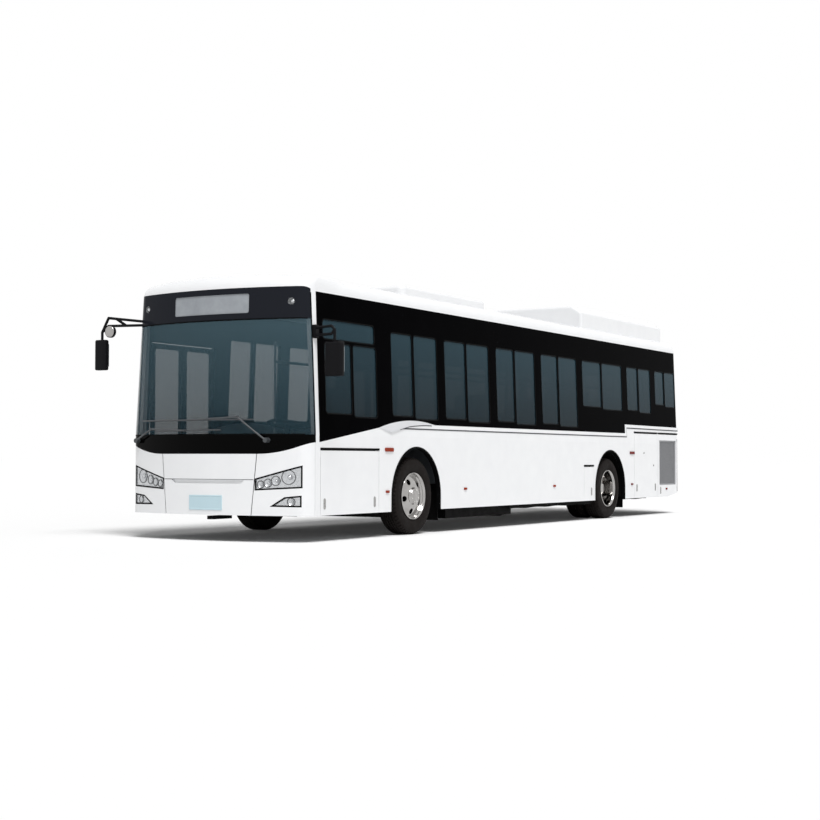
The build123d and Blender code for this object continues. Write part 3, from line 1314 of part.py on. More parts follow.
STEERING_R = 225
STEERING_RIM_R = 16
STEERING_AT = (CAB_X_MIDDLE, FRONT_AXLE_Y - 1890, 1330)
STEERING_FOOT = (CAB_X_MIDDLE, FRONT_AXLE_Y - 2040, CAB_FLOOR_Z)
COLUMN_R = 35
SPOKE_R = 14
with BuildPart() as steering_wheel:
    column = Vector(*STEERING_AT) - Vector(*STEERING_FOOT)
    wheel_plane = Plane(origin=STEERING_AT, x_dir=(1, 0, 0), z_dir=column)
    with Locations(wheel_plane):
        Torus(STEERING_R, STEERING_RIM_R)
    with BuildSketch(Plane(origin=STEERING_AT, x_dir=(0, 0, 1), z_dir=(1, 0, 0))):
        Circle(SPOKE_R)
    extrude(amount=STEERING_R, both=True)
    with BuildSketch(wheel_plane):
        Circle(COLUMN_R)
    extrude(amount=-2 * STEERING_AT[2])
    with BuildSketch(Plane.XY.offset(CAB_FLOOR_Z)):
        with Locations((CAB_X_MIDDLE, FRONT_AXLE_Y)):
            Rectangle(REACH, LENGTH)
    extrude(amount=-REACH, mode=Mode.SUBTRACT)
save(steering_wheel, "steering_wheel")

# Grab rails: posts from the floor up to a rail along each side of the aisle.
Post = namedtuple("Post", "y floor")
RAIL_POSTS = (
    Post(-700, FLOOR_Z),
    Post(850, FLOOR_Z),
    Post(2100, FLOOR_Z),
    Post(3600, FLOOR_Z),
    Post(5400, RAISED_FLOOR_Z),
    Post(8450, RAISED_FLOOR_Z),
)
AISLE_RAIL_X = 385
AISLE_RAIL_Z = 2160
AISLE_RAIL_R = 18
POST_TOP_Z = 2420
POST_R = 16
with BuildPart() as grab_rails:
    for side in (1, -1):
        for post in RAIL_POSTS:
            with BuildSketch(Plane.XY.offset(post.floor)):
                with Locations((side * AISLE_RAIL_X, FRONT_AXLE_Y + post.y)):
                    Circle(POST_R)
            extrude(amount=POST_TOP_Z - post.floor)
        with BuildSketch(Plane.XZ.offset(-FRONT_AXLE_Y - RAIL_POSTS[-1].y)):
            with Locations((side * AISLE_RAIL_X, AISLE_RAIL_Z)):
                Circle(AISLE_RAIL_R)
        extrude(amount=RAIL_POSTS[-1].y - RAIL_POSTS[0].y)
save(grab_rails, "grab_rails")
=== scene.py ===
import bpy
import numpy as np
from mathutils import Matrix


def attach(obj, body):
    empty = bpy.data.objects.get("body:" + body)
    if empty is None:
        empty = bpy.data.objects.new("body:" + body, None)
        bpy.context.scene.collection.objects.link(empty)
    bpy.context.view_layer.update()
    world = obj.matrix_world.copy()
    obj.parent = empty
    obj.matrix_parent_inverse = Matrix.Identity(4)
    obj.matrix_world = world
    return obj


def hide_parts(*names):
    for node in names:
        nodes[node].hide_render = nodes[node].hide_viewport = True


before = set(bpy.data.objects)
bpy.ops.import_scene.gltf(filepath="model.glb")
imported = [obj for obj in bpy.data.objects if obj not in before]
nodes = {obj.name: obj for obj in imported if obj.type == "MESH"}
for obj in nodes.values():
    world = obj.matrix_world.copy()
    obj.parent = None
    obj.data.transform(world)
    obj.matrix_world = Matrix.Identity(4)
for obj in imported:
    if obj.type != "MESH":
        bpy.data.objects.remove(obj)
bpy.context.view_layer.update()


# Tyres: steel-belted radial road tyres, moulded from black rubber and seated on the wheel rims.
# The rain grooves and the cut shoulder blocks are part of the mould, and road dust greys the side walls.
SIDES = (("left", 1), ("right", -1))
TYRE_R = 0.4785
WHEEL_X = 1.100
TWIN_PITCH = 0.310
FRONT_AXLE_Y = -3.400
REAR_AXLE_Y = 2.800
TREAD_PITCHES = 56
GROOVE_DEPTH = 0.012
SHOULDER_CUT = 0.010


def srgb(code):
    """Linear RGBA of an sRGB hex code, channel by channel."""
    value = np.array([int(code[i : i + 2], 16) for i in (1, 3, 5)]) / 255
    linear = np.where(value <= 0.04045, value / 12.92, ((value + 0.055) / 1.055) ** 2.4)
    return (*linear.tolist(), 1.0)


def add_node(material, kind, settings, links=()):
    """One shader node: its settings and unlinked inputs are set, and its other inputs are linked."""
    node = material.node_tree.nodes.new("ShaderNode" + kind)
    for key, value in settings.items():
        if isinstance(key, int) or key in node.inputs:
            node.inputs[key].default_value = value
        else:
            setattr(node, key, value)
    for key, source in links:
        material.node_tree.links.new(source, node.inputs[key])
    return node


def finish(name, dark, light, grain_mm, rough, relief_mm=0.0, **shader):
    """A surface whose colour runs between two close tones and whose roughness runs between two values,
    both by soft noise of a real grain size in millimetres; the same noise lifts it by relief_mm."""
    material = bpy.data.materials.new(name)
    material.use_nodes = True
    material.node_tree.nodes.clear()
    where = add_node(material, "TexCoord", {})
    noise = {"Scale": 1000 / grain_mm, "Detail": 4.0}
    grain = add_node(material, "TexNoise", noise, [("Vector", where.outputs["Object"])])
    tones = {"data_type": "RGBA", 6: srgb(dark), 7: srgb(light)}
    tone = add_node(material, "Mix", tones, [(0, grain.outputs["Fac"])])
    spread = {"From Min": 0.3, "From Max": 0.7, "To Min": rough[0], "To Max": rough[1]}
    gloss = add_node(material, "MapRange", spread, [("Value", grain.outputs["Fac"])])
    links = [("Base Color", tone.outputs[2]), ("Roughness", gloss.outputs["Result"])]
    if relief_mm:
        relief = {"Strength": 1.0, "Distance": relief_mm / 1000}
        bump = add_node(material, "Bump", relief, [("Height", grain.outputs["Fac"])])
        links.append(("Normal", bump.outputs["Normal"]))
    surface = add_node(material, "BsdfPrincipled", shader, links)
    surface.name = "surface"
    tone.name = "tone"
    where.name = "where"
    add_node(material, "OutputMaterial", {}, [("Surface", surface.outputs["BSDF"])])
    return material


def dress(material, *names):
    """Give CAD nodes their finish."""
    for name in names:
        nodes[name].data.materials.clear()
        nodes[name].data.materials.append(material)


def add_piece(name, solids, body, material, loop=False, sharp=35):
    """A mesh of closed solids, each an array of rings (ring, point round it, xyz). Neighbouring rings are
    joined by quads; a loop joins the last ring to the first, otherwise the end rings are capped. The sign of
    the enclosed volume turns the faces outwards."""
    points, faces, start = [], [], 0
    for rings in solids:
        count, around = rings.shape[:2]
        index = start + np.arange(count * around).reshape(count, around)
        runs = count if loop else count - 1
        side = np.roll(index, -1, 1)
        corners = np.stack([index, side, np.roll(side, -1, 0), np.roll(index, -1, 0)], -1)
        quads = corners[:runs].reshape(-1, 4)
        caps = [] if loop else [index[0][::-1].tolist(), index[-1].tolist()]
        flat = rings.reshape(-1, 3) - rings.reshape(-1, 3).mean(0)
        a, b, c, d = (flat[quads[:, k] - start] for k in range(4))
        volume = np.sum(a * np.cross(b, c)) + np.sum(a * np.cross(c, d))
        for cap in caps:
            edge = flat[np.array(cap) - start]
            volume += np.sum(edge[0] * np.cross(edge[1:-1], edge[2:]))
        if volume < 0:
            quads, caps = quads[:, ::-1], [cap[::-1] for cap in caps]
        points.append(rings.reshape(-1, 3))
        faces += quads.tolist() + caps
        start += count * around
    mesh = bpy.data.meshes.new(name)
    mesh.from_pydata(np.concatenate(points).tolist(), [], faces)
    mesh.shade_smooth()
    mesh.set_sharp_from_angle(angle=np.radians(sharp))
    mesh.materials.append(material)
    piece = bpy.data.objects.new(name, mesh)
    bpy.context.scene.collection.objects.link(piece)
    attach(piece, body)
    return piece


def tyre_rings(centre_x, axle_y):
    """A closed tyre section turned about the axle. The section's height over the axle is the crown radius
    less the grooves; the shoulder points also drop by the cut depth over the last third of every pitch."""
    wall_x = [0.100, 0.112, 0.120, 0.124, 0.131, 0.137, 0.138]
    wall_x += [0.136, 0.131, 0.127, 0.121, 0.108, 0.092, 0.082]
    wall_r = [0.2855, 0.289, 0.303, 0.307, 0.330, 0.362, 0.385]
    wall_r += [0.412, 0.438, 0.450, 0.460, 0.4705, 0.4765, TYRE_R]
    wall = np.stack([wall_x, wall_r], -1)
    cut = np.array([0, 0, 0, 0, 0, 0, 0, 0, 0, 0, 1, 1, 1, 0])
    groove = np.array([[-0.0065, 0], [-0.0045, -GROOVE_DEPTH], [0.0045, -GROOVE_DEPTH], [0.0065, 0]])
    rows = np.array([-0.054, -0.018, 0.018, 0.054])
    tread = (groove[None] + np.stack([rows, np.full(4, TYRE_R)], -1)[:, None]).reshape(-1, 2)
    section = np.concatenate([wall * [-1, 1], tread, wall[::-1]])
    weight = np.concatenate([cut, np.zeros(len(tread)), cut[::-1]])
    share = np.array([0.0, 0.62, 0.67, 0.95])
    window = np.array([0.0, 0.0, 1.0, 1.0])
    angle = 2 * np.pi * (np.arange(TREAD_PITCHES)[:, None] + share).ravel() / TREAD_PITCHES
    drop = SHOULDER_CUT * np.tile(window, TREAD_PITCHES)[:, None] * weight
    radius = section[None, :, 1] - drop
    x = np.broadcast_to(centre_x + section[:, 0], radius.shape)
    y = axle_y + radius * np.cos(angle)[:, None]
    z = TYRE_R + radius * np.sin(angle)[:, None]
    return np.stack([x, y, z], -1)


# Vulcanised rubber, slightly dusty: matt, warm black, with blotches of dust a hand's breadth across.
tyre_rubber = finish("vulcanised_tyre_rubber", "#0C0908", "#1A1513", 60, (0.72, 0.92), 0.4, IOR=1.25)
for hand, way in SIDES:
    single = [tyre_rings(way * WHEEL_X, FRONT_AXLE_Y)]
    body = f"front_wheel_{hand}"
    front = add_piece(f"tyre_tread_front_{hand}", single, body, tyre_rubber, loop=True)
    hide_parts(f"tyre_front_{hand}")
    pair = [tyre_rings(way * (WHEEL_X - back), REAR_AXLE_Y) for back in (0, TWIN_PITCH)]
    body = f"rear_wheels_{hand}"
    twins = add_piece(f"tyre_tread_rear_{hand}", pair, body, tyre_rubber, loop=True)
    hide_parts(f"tyres_rear_{hand}")


# Wheels: pressed steel discs, polished and chromed, with five hand holes, held by ten hexagon nuts behind
# and by capped hub bolts under the domed front cover. The plating is bright, and the nuts are zinc grey.
chromed_steel = finish("polished_chromed_steel", "#949290", "#BDBBB9", 90, (0.05, 0.12), 0.05, Metallic=1.0)
zinc_steel = finish("zinc_plated_steel", "#8F8F8E", "#B5B4B2", 12, (0.25, 0.40), 0.1, Metallic=1.0)
dress(chromed_steel, "wheel_front_left", "wheel_front_right", "wheels_rear_left", "wheels_rear_right")
WHEEL_ENDS = (("front", "front_wheel", FRONT_AXLE_Y), ("rear", "rear_wheels", REAR_AXLE_Y))
# For each wheel: number of nuts, circle radius, seat, nut radius, nut height and first angle.
WHEEL_NUTS = {
    "front": (8, 0.078, 1.2565, 0.009, 0.009, 22.5),
    "rear": (10, 0.150, 0.9570, 0.0165, 0.030, 136.0),
}


def nut_rings(centre, radius, height, way):
    """A hexagon carried outwards along the axle: full at the seat, full below the chamfer, smaller on top."""
    turn = np.radians(60 * np.arange(6))
    size = radius * np.array([1.0, 1.0, 0.80])
    out = height * np.array([0.0, 0.75, 1.0])
    x = np.broadcast_to(centre[0] + way * out[:, None], (3, 6))
    y = centre[1] + size[:, None] * np.cos(turn)
    z = centre[2] + size[:, None] * np.sin(turn)
    return np.stack([x, y, z], -1)


for end, wheel, axle_y in WHEEL_ENDS:
    count, circle_r, seat_x, nut_r, nut_h, first = WHEEL_NUTS[end]
    for hand, way in SIDES:
        turns = np.radians(first + 360 * np.arange(count) / count)
        seats = [(way * seat_x, axle_y + circle_r * np.cos(t), TYRE_R + circle_r * np.sin(t)) for t in turns]
        nuts = [nut_rings(seat, nut_r, nut_h, way) for seat in seats]
        add_piece(f"wheel_nuts_{end}_{hand}", nuts, f"{wheel}_{hand}", zinc_steel)


# Trim rings: spun stainless steel hoops with a rolled outer edge, polished bright,
# and clipped over the rim flange of the front and the outer rear wheels.
RING_SECTION = np.array(
    [
        [1.2050, 0.2660],
        [1.2280, 0.2740],
        [1.2350, 0.2820],
        [1.2350, 0.2885],
        [1.2300, 0.2925],
        [1.2060, 0.2860],
    ]
)
FULL_TURN = np.linspace(0, 2 * np.pi, 96, endpoint=False)


def turned_rings(section, way, axle_y, turn):
    """A section of places along the axle and radii, carried round the axle through the given angles."""
    y = axle_y + section[:, 1] * np.cos(turn)[:, None]
    z = TYRE_R + section[:, 1] * np.sin(turn)[:, None]
    return np.stack([np.broadcast_to(way * section[:, 0], y.shape), y, z], -1)


for end, wheel, axle_y in WHEEL_ENDS:
    for hand, way in SIDES:
        hoop = [turned_rings(RING_SECTION, way, axle_y, FULL_TURN)]
        name = f"{wheel}_trim_ring_{hand}"
        add_piece(name, hoop, f"{wheel}_{hand}", chromed_steel, loop=True)


# Underframe, axles and engine: welded steel sections and iron castings under chassis paint,
# bolted below the floor. Road film dulls the paint, and the castings keep their sand-mould skin.
chassis_paint = finish("black_chassis_paint", "#050505", "#0C0B0B", 80, (0.60, 0.80), 0.3, IOR=1.15)
cast_iron = finish("sand_cast_iron", "#101011", "#1C1B1B", 9, (0.60, 0.80), 0.6, Metallic=0.4)
mudflap_rubber = finish("black_sheet_rubber", "#060606", "#0E0D0D", 35, (0.70, 0.90), 0.3, IOR=1.15)
dress(chassis_paint, "underframe", "track_rod")
dress(cast_iron, "front_axle", "rear_axle", "knuckle_left", "knuckle_right", "engine")
dress(mudflap_rubber, "mudflaps")


# Spray strips: black rubber sheet with a slightly wavy hem, clamped under the inner edge of the skirts
# to hold back road water. Each run gives its ends behind the front axle and its lowest height.
SPRAY_RUNS = ((2.700, 5.560, 0.246), (6.840, 7.900, 0.284))
SPRAY_X = np.array([1.206, 1.206, 1.214, 1.214])
SPRAY_TOP = 0.304
SPRAY_WAVE = 0.004
SPRAY_RATE = 9


def spray_rings(way, front, rear, foot):
    """A thin upright sheet along the bus, straight on top, with a hem that follows a shallow sine wave."""
    y = FRONT_AXLE_Y + np.linspace(front, rear, 33)[:, None]
    hem = foot + SPRAY_WAVE * np.sin(SPRAY_RATE * y)
    z = np.where(np.array([True, False, False, True]), hem, SPRAY_TOP)
    return np.stack([np.broadcast_to(way * SPRAY_X, z.shape), np.broadcast_to(y, z.shape), z], -1)


strips = [spray_rings(way, *run) for hand, way in SIDES for run in SPRAY_RUNS]
add_piece("spray_strips", strips, "coach_body", mudflap_rubber)


# Rear wheel housings: sheet steel walls inboard of the twin tyres, left open round the axle, and an arched
# sheet from each wall to the arch, all welded to the frame and painted with it.
HOUSING_SECTIONS = (
    np.array([[0.632, 0.300], [0.640, 0.300], [0.640, 0.590], [0.632, 0.590]]),
    np.array([[0.640, 0.586], [1.215, 0.586], [1.215, 0.590], [0.640, 0.590]]),
)
HOUSING_TURN = np.radians(np.linspace(-14, 194, 61))
housings = []
for hand, way in SIDES:
    for section in HOUSING_SECTIONS:
        housings.append(turned_rings(section, way, REAR_AXLE_Y, HOUSING_TURN))
add_piece("rear_wheel_housings", housings, "coach_body", chassis_paint)


# Floor: plywood on the frame under a sheet of safety vinyl, welded at the seams,
# with mineral flecks in the vinyl that grip wet shoes.
safety_vinyl = finish("flecked_safety_vinyl", "#3E4246", "#5B6065", 6, (0.55, 0.75), 0.3)
dress(safety_vinyl, "floor", "raised_floor", "driver_platform", "wheel_boxes")


# Passenger seats, grab rails and dashboard: tough moulded seats on pedestals, brushed stainless tube,
# and a grained moulding across the driver's place. The mirrors are grained too, and the wipers are
# satin-painted steel.
seat_shell = finish("moulded_polypropylene", "#4E6473", "#5C7383", 14, (0.35, 0.50), 0.15)
brushed_tube = finish("brushed_stainless_tube", "#9A9B9C", "#BEBFC0", 5, (0.25, 0.40), 0.05, Metallic=1.0)
grained_plastic = finish("grained_black_plastic", "#08080A", "#101013", 3, (0.50, 0.65), 0.25, IOR=1.2)
satin_steel = finish("satin_black_steel", "#34373A", "#46494C", 8, (0.30, 0.45), 0.05)
dress(seat_shell, "seats")
dress(brushed_tube, "grab_rails")
dress(grained_plastic, "dashboard", "steering_wheel", "mirror_arms", "mirror_heads")
dress(satin_steel, "wipers")


# Driver's seat: foam pads in woven moquette on a sprung pedestal inside a rubber bellows,
# bolted to the cab platform. The wool pile is dull, with a soft sheen along its edges.
SEAT_X = 0.640
SEAT_Y = FRONT_AXLE_Y - 1.520
CAB_FLOOR = 0.620
CUSHION_CENTRE = (SEAT_X, SEAT_Y + 0.235, CAB_FLOOR + 0.410)
CUSHION_HALF = (0.235, 0.235, 0.055)
BACKREST_CENTRE = (SEAT_X, SEAT_Y + 0.490, CAB_FLOOR + 0.810)
BACKREST_HALF = (0.230, 0.050, 0.360)
BACKREST_LEAN = 0.125
PAD_FULLNESS = 0.35
BELLOWS_Y = SEAT_Y + 0.250
BELLOWS_HALF = 0.150
BELLOWS_FOLD = 0.012
BELLOWS_HEIGHT = 0.356
BELLOWS_FULLNESS = 0.4


def soft(value, power):
    """A sine or cosine raised to a power below one with its sign kept, which squares a circle off."""
    return np.sign(value) * np.abs(value) ** power


def pad_rings(centre, half, lean=0.0):
    """A crowned pad: a superellipsoid, whose three half sizes are scaled by powers of sine and cosine below
    one, so that it is full in the middle and its sides pull in towards the corners. Lean moves its top."""
    tilt = np.linspace(-np.pi / 2, np.pi / 2, 33)[:, None]
    turn = np.linspace(0, 2 * np.pi, 64, endpoint=False)[None, :]
    girth = soft(np.cos(tilt), PAD_FULLNESS)
    x = centre[0] + half[0] * girth * soft(np.cos(turn), PAD_FULLNESS)
    y = centre[1] + half[1] * girth * soft(np.sin(turn), PAD_FULLNESS)
    z = centre[2] + half[2] * soft(np.sin(tilt), PAD_FULLNESS) * np.ones_like(turn)
    return np.stack([x, y + lean * (z - centre[2]), z], -1)


def bellows_rings():
    """A rounded square column whose half width swells and shrinks by a cosine, in six folds."""
    fold = np.linspace(0, 1, 41)[:, None]
    turn = np.linspace(0, 2 * np.pi, 48, endpoint=False)[None, :]
    half = BELLOWS_HALF + BELLOWS_FOLD * np.cos(12 * np.pi * fold)
    x = SEAT_X + half * soft(np.cos(turn), BELLOWS_FULLNESS)
    y = BELLOWS_Y + half * soft(np.sin(turn), BELLOWS_FULLNESS)
    return np.stack([x, y, np.broadcast_to(CAB_FLOOR + BELLOWS_HEIGHT * fold, x.shape)], -1)


moquette = finish("woven_wool_moquette", "#20262C", "#39424B", 4, (0.85, 0.95), 0.5)
moquette.node_tree.nodes["surface"].inputs["Sheen Weight"].default_value = 0.4
cushion_pad = [pad_rings(CUSHION_CENTRE, CUSHION_HALF)]
cushion = add_piece("driver_seat_cushion", cushion_pad, "coach_body", moquette, sharp=180)
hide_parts("driver_seat")
back_pad = [pad_rings(BACKREST_CENTRE, BACKREST_HALF, BACKREST_LEAN)]
backrest = add_piece("driver_seat_backrest", back_pad, "coach_body", moquette, sharp=180)
add_piece("driver_seat_bellows", [bellows_rings()], "coach_body", mudflap_rubber, sharp=60)


# Painted body: steel and glass-fibre panels over a tube frame, sprayed gloss white and baked under a clear
# coat. The tone and the gloss of the spray change softly over a hand's width.
CLEAR_COAT = {"Coat Weight": 0.3, "Coat Roughness": 0.08}
white_paint = finish("sprayed_gloss_white_paint", "#ECEDEF", "#F4F5F6", 220, (0.18, 0.26), **CLEAR_COAT)
dress(white_paint, "left_side_panel", "right_side_panel", "roof", "roof_pod", "cooling_unit")
dress(white_paint, "front_panels", "corner_posts", "rear_wall", "engine_lid")
dress(white_paint, "locker_flap", "filler_flap", "engine_flap", "radiator_flap")

HALF_WIDTH = 1.275
WAIST_Z = 1.207
EAVES_Z = 2.820
TUMBLEHOME = 0.060


def side_x(z):
    """Half width of the skin: upright to the waist, then leaning in evenly up to the eaves."""
    return HALF_WIDTH - TUMBLEHOME * np.maximum(0, z - WAIST_Z) / (EAVES_Z - WAIST_Z)


def on_side(way, y, z, out):
    """Points standing out from a side's skin, at y behind the front axle and height z."""
    y, z, out = np.broadcast_arrays(y, z, out)
    return np.stack([way * (side_x(z) + out), FRONT_AXLE_Y + y, z], -1)


def side_place(way):
    """The rule that lays a strip on one side's skin."""
    return lambda y, z, out: on_side(way, y, z, out)


def strip_rings(path, section, place, closed=False):
    """A section carried along a flat path. The section's second size lies across the path, mitred at its
    corners; place puts the points on the skin, with the section's first size standing out from it."""
    ahead = np.roll(path, -1, 0) - path
    ahead /= np.linalg.norm(ahead, axis=1, keepdims=True)
    behind = np.roll(ahead, 1, 0)
    if not closed:
        ahead[-1] = behind[-1]
        behind[0] = ahead[0]
    across = np.stack([-ahead[:, 1] - behind[:, 1], ahead[:, 0] + behind[:, 0]], -1)
    across /= 1 + np.sum(ahead * behind, 1, keepdims=True)
    spread = path[:, None] + across[:, None] * section[None, :, 1:]
    return place(spread[..., 0], spread[..., 1], np.broadcast_to(section[None, :, 0], spread.shape[:2]))


def flat_section(low, high, width):
    """A strip's section from low to high above the skin, with its two outer edges eased."""
    ease = min(0.3 * width, 0.4 * (high - low))
    half = width / 2
    crown = [[high - ease, -half], [high, ease - half], [high, half - ease], [high - ease, half]]
    return np.array([[low, -half], *crown, [low, half]])


# Belt moulding: an extruded aluminium strip painted with the body, with a grey rubber insert below it,
# clipped along the foot of the dark band; it steps up behind the rear axle and breaks at the doorways.
# This grey rubber also serves as painted shade: the shadow line under the swept blade and the line in the
# nose crease.
grey_rubber_and_painted_shade = finish("grey_rubber_and_painted_shade_lines", "#404246", "#505256", 25, (0.50, 0.65), 0.1, IOR=1.2)
MOULDING_RUNS = {
    1: [[[0.380, 1.338], [6.859, 1.338], [6.859, 1.483], [9.285, 1.474]]],
    -1: [[[0.380, 1.338], [2.210, 1.338]], [[3.500, 1.338], [6.859, 1.338], [6.859, 1.483], [9.285, 1.474]]],
}
INSERT_RUNS = {
    1: [[[-0.420, 1.309], [6.890, 1.309], [6.890, 1.453], [9.285, 1.444]]],
    -1: [[[-0.420, 1.309], [2.210, 1.309]], [[3.500, 1.309], [6.890, 1.309], [6.890, 1.453], [9.285, 1.444]]],
}
MOULDING = flat_section(-0.002, 0.010, 0.044)
INSERT = flat_section(-0.002, 0.006, 0.016)
for hand, way in SIDES:
    mouldings = [strip_rings(np.array(run), MOULDING, side_place(way)) for run in MOULDING_RUNS[way]]
    add_piece(f"belt_moulding_{hand}", mouldings, "coach_body", white_paint)
    inserts = [strip_rings(np.array(run), INSERT, side_place(way)) for run in INSERT_RUNS[way]]
    add_piece(f"belt_insert_{hand}", inserts, "coach_body", grey_rubber_and_painted_shade)


# Swept moulding over the front arch: a glass-fibre blade that lifts the belt line in one curve and fades into
# the moulding behind it, bonded to the panel and sprayed a satin white. Its grey-white colour is painted
# shade, and the grey strip along its lower edge is a painted shadow cast by the blade's lip.
# The blade's grey-white colour is painted shade, greyer than the body white.
blade_painted_shade = finish("satin_white_paint_painted_shade", "#CFD0D3", "#DCDDE0", 150, (0.30, 0.42))
SWEEP_START = (-0.895, 1.309)
SWEEP_TOP = (-0.135, 1.410)
SWEEP_END = (0.473, 1.365)
SWEEP_CURVE = np.polyfit(*zip(SWEEP_START, SWEEP_TOP, SWEEP_END), 2)
BLADE_ALONG = np.array([0.0, 0.2, 0.38, 0.52, 0.70, 1.0])
BLADE_DEPTH = np.array([0.004, 0.108, 0.090, 0.068, 0.050, 0.006])
BLADE_DROP = 0.002
BLADE_LIFT, BLADE_RISE = 0.002, 0.016
BLADE_BACK = -0.004
# The grey strip along the blade's lower edge is a painted shadow of its lip: where it starts along the blade,
# its drop below the edge, and its section.
SHADOW_LINE_START = 0.36
SHADOW_LINE_DROP = 0.007
SHADOW_LINE = flat_section(-0.002, 0.006, 0.011)


def blade_line(along):
    """Place, belt height and depth at a share of the blade's length. The belt line is a parabola through
    three points; the depth runs straight between given shares, deepest at the pointed lower corner."""
    y = SWEEP_START[0] + (SWEEP_END[0] - SWEEP_START[0]) * along
    return y, np.polyval(SWEEP_CURVE, y), np.interp(along, BLADE_ALONG, BLADE_DEPTH)


def sweep_rings(way):
    """The blade between the belt line and its lower edge: its height over the skin grows with its depth and
    towards the lower edge, and its back lies just under the skin."""
    y, belt_z, depth = blade_line(np.linspace(0, 1, 72)[:, None])
    across = np.linspace(0, 1, 13)[None, :]
    z = belt_z - BLADE_DROP - depth * across
    rise = BLADE_LIFT + BLADE_RISE * np.clip(1.15 * across, 0.0, 1.0) ** 0.8 * depth / BLADE_DEPTH.max()
    face = on_side(way, y, z, rise)
    back = on_side(way, y, z, BLADE_BACK)
    return np.concatenate([face, back[:, ::-1]], 1)


edge_y, edge_z, edge_depth = blade_line(np.linspace(SHADOW_LINE_START, 1, 40))
shadow_line_path = np.stack([edge_y, edge_z - edge_depth - SHADOW_LINE_DROP], -1)
for hand, way in SIDES:
    add_piece(f"arch_sweep_{hand}", [sweep_rings(way)], "coach_body", blade_painted_shade, sharp=60)
    blade_shadow_line = strip_rings(shadow_line_path, SHADOW_LINE, side_place(way))
    add_piece(f"arch_sweep_painted_shadow_{hand}", [blade_shadow_line], "coach_body", grey_rubber_and_painted_shade)


# Wheel arch lips: black rubber extrusions pressed over the panel edge round every arch,
# from the foot of the skirt before the wheel to the foot behind it. The rubber is matt.
ARCH_R = 0.600
SKIRT_Z = 0.300
WHEELBASE = 6.2
ARCH_LIP = np.array(
    [
        [-0.053, -0.010],
        [0.003, -0.010],
        [0.006, -0.006],
        [0.006, 0.010],
        [0.001, 0.012],
        [-0.002, 0.000],
        [-0.053, 0.000],
    ]
)
seal_rubber = finish("black_seal_rubber", "#050506", "#0B0B0B", 18, (0.55, 0.75), 0.1, IOR=1.12)
arch_turn = np.linspace(np.pi, 0, 49)
lips = []
for hand, way in SIDES:
    for axle in (0.0, WHEELBASE):
        arc = np.stack([axle + ARCH_R * np.cos(arch_turn), TYRE_R + ARCH_R * np.sin(arch_turn)], -1)
        path = np.concatenate([[[axle - ARCH_R, SKIRT_Z]], arc, [[axle + ARCH_R, SKIRT_Z]]])
        lips.append(strip_rings(path, ARCH_LIP, side_place(way)))
add_piece("wheel_arch_lips", lips, "coach_body", seal_rubber)


# Window band: black enamelled panels bonded over the pillars, with panes of grey-green tempered glass
# in rubber gaskets. The enamel is deep gloss. The glass is darker towards the sill and lighter towards
# the top: a painted reflection of the bright sky.
black_enamel = finish("black_enamelled_panel", "#020203", "#050506", 300, (0.10, 0.18), IOR=1.03)
dress(black_enamel, "left_window_band", "right_window_band")


def tint_glass(name, foot, head, low_z, high_z, cover, rough):
    """Tinted sheet glass whose colour runs from foot to head by height, on clear panes a painted reflection
    of the sky; cover is the light a face stops.
    """
    material = finish(name, foot, head, 400, (rough, rough + 0.03), IOR=1.12, Alpha=cover)
    tree = material.node_tree
    place = add_node(material, "SeparateXYZ", {}, [("Vector", tree.nodes["where"].outputs["Object"])])
    place.name = "place"
    heights = {"From Min": low_z, "From Max": high_z}
    shade = add_node(material, "MapRange", heights, [("Value", place.outputs["Z"])])
    tree.links.new(shade.outputs["Result"], tree.nodes["tone"].inputs[0])
    return material


# The side panes let less light through on the bus's left than on its right, so their cover runs across
# it: the dense dark panes on the left are painted shade for the shaded inside seen through them.
RIGHT_COVER, LEFT_PAINTED_SHADE_COVER = 0.46, 0.86
# The side glass is lighter towards the top: a painted reflection of the bright sky.
side_glass = tint_glass("tinted_glass_painted_reflection_and_shade", "#17262D", "#2A424C", 1.4, 2.5, LEFT_PAINTED_SHADE_COVER, 0.03)
glass_tree = side_glass.node_tree
across_bus = {"From Min": -0.5, "From Max": 0.5, "To Min": RIGHT_COVER, "To Max": LEFT_PAINTED_SHADE_COVER}
painted_shade_cover = add_node(side_glass, "MapRange", across_bus, [("Value", glass_tree.nodes["place"].outputs["X"])])
glass_tree.links.new(painted_shade_cover.outputs["Result"], glass_tree.nodes["surface"].inputs["Alpha"])
dress(side_glass, "body_glass")

# For each left window: front, divider, rear, sill and top, behind the front axle and above the ground.
WINDOWS = np.array(
    [
        [-2.040, -1.460, -0.920, 1.420, 2.260],
        [-0.570, -0.040, 0.570, 1.428, 2.475],
        [0.770, 1.360, 2.020, 1.425, 2.470],
        [2.240, 2.810, 3.470, 1.425, 2.470],
        [3.690, 4.275, 4.960, 1.425, 2.470],
        [5.170, 5.924, 6.770, 1.727, 2.465],
        [6.980, 7.477, 8.040, 1.717, 2.460],
        [8.250, 8.693, 9.210, 1.849, 2.458],
    ]
)
DOORWAY_WINDOWS = (0, 3)
TRANSOM = (-2.070, -0.950, 2.293, 2.520)
PANE_R = 0.045
PANE_BAR = 0.040
PANE_RAISE = 0.028
CORNER_POINTS = 8
GASKET = np.array(
    [
        [-0.012, -0.007],
        [0.001, -0.007],
        [0.003, -0.003],
        [0.003, 0.004],
        [0.0005, 0.008],
        [-0.012, 0.004],
    ]
)


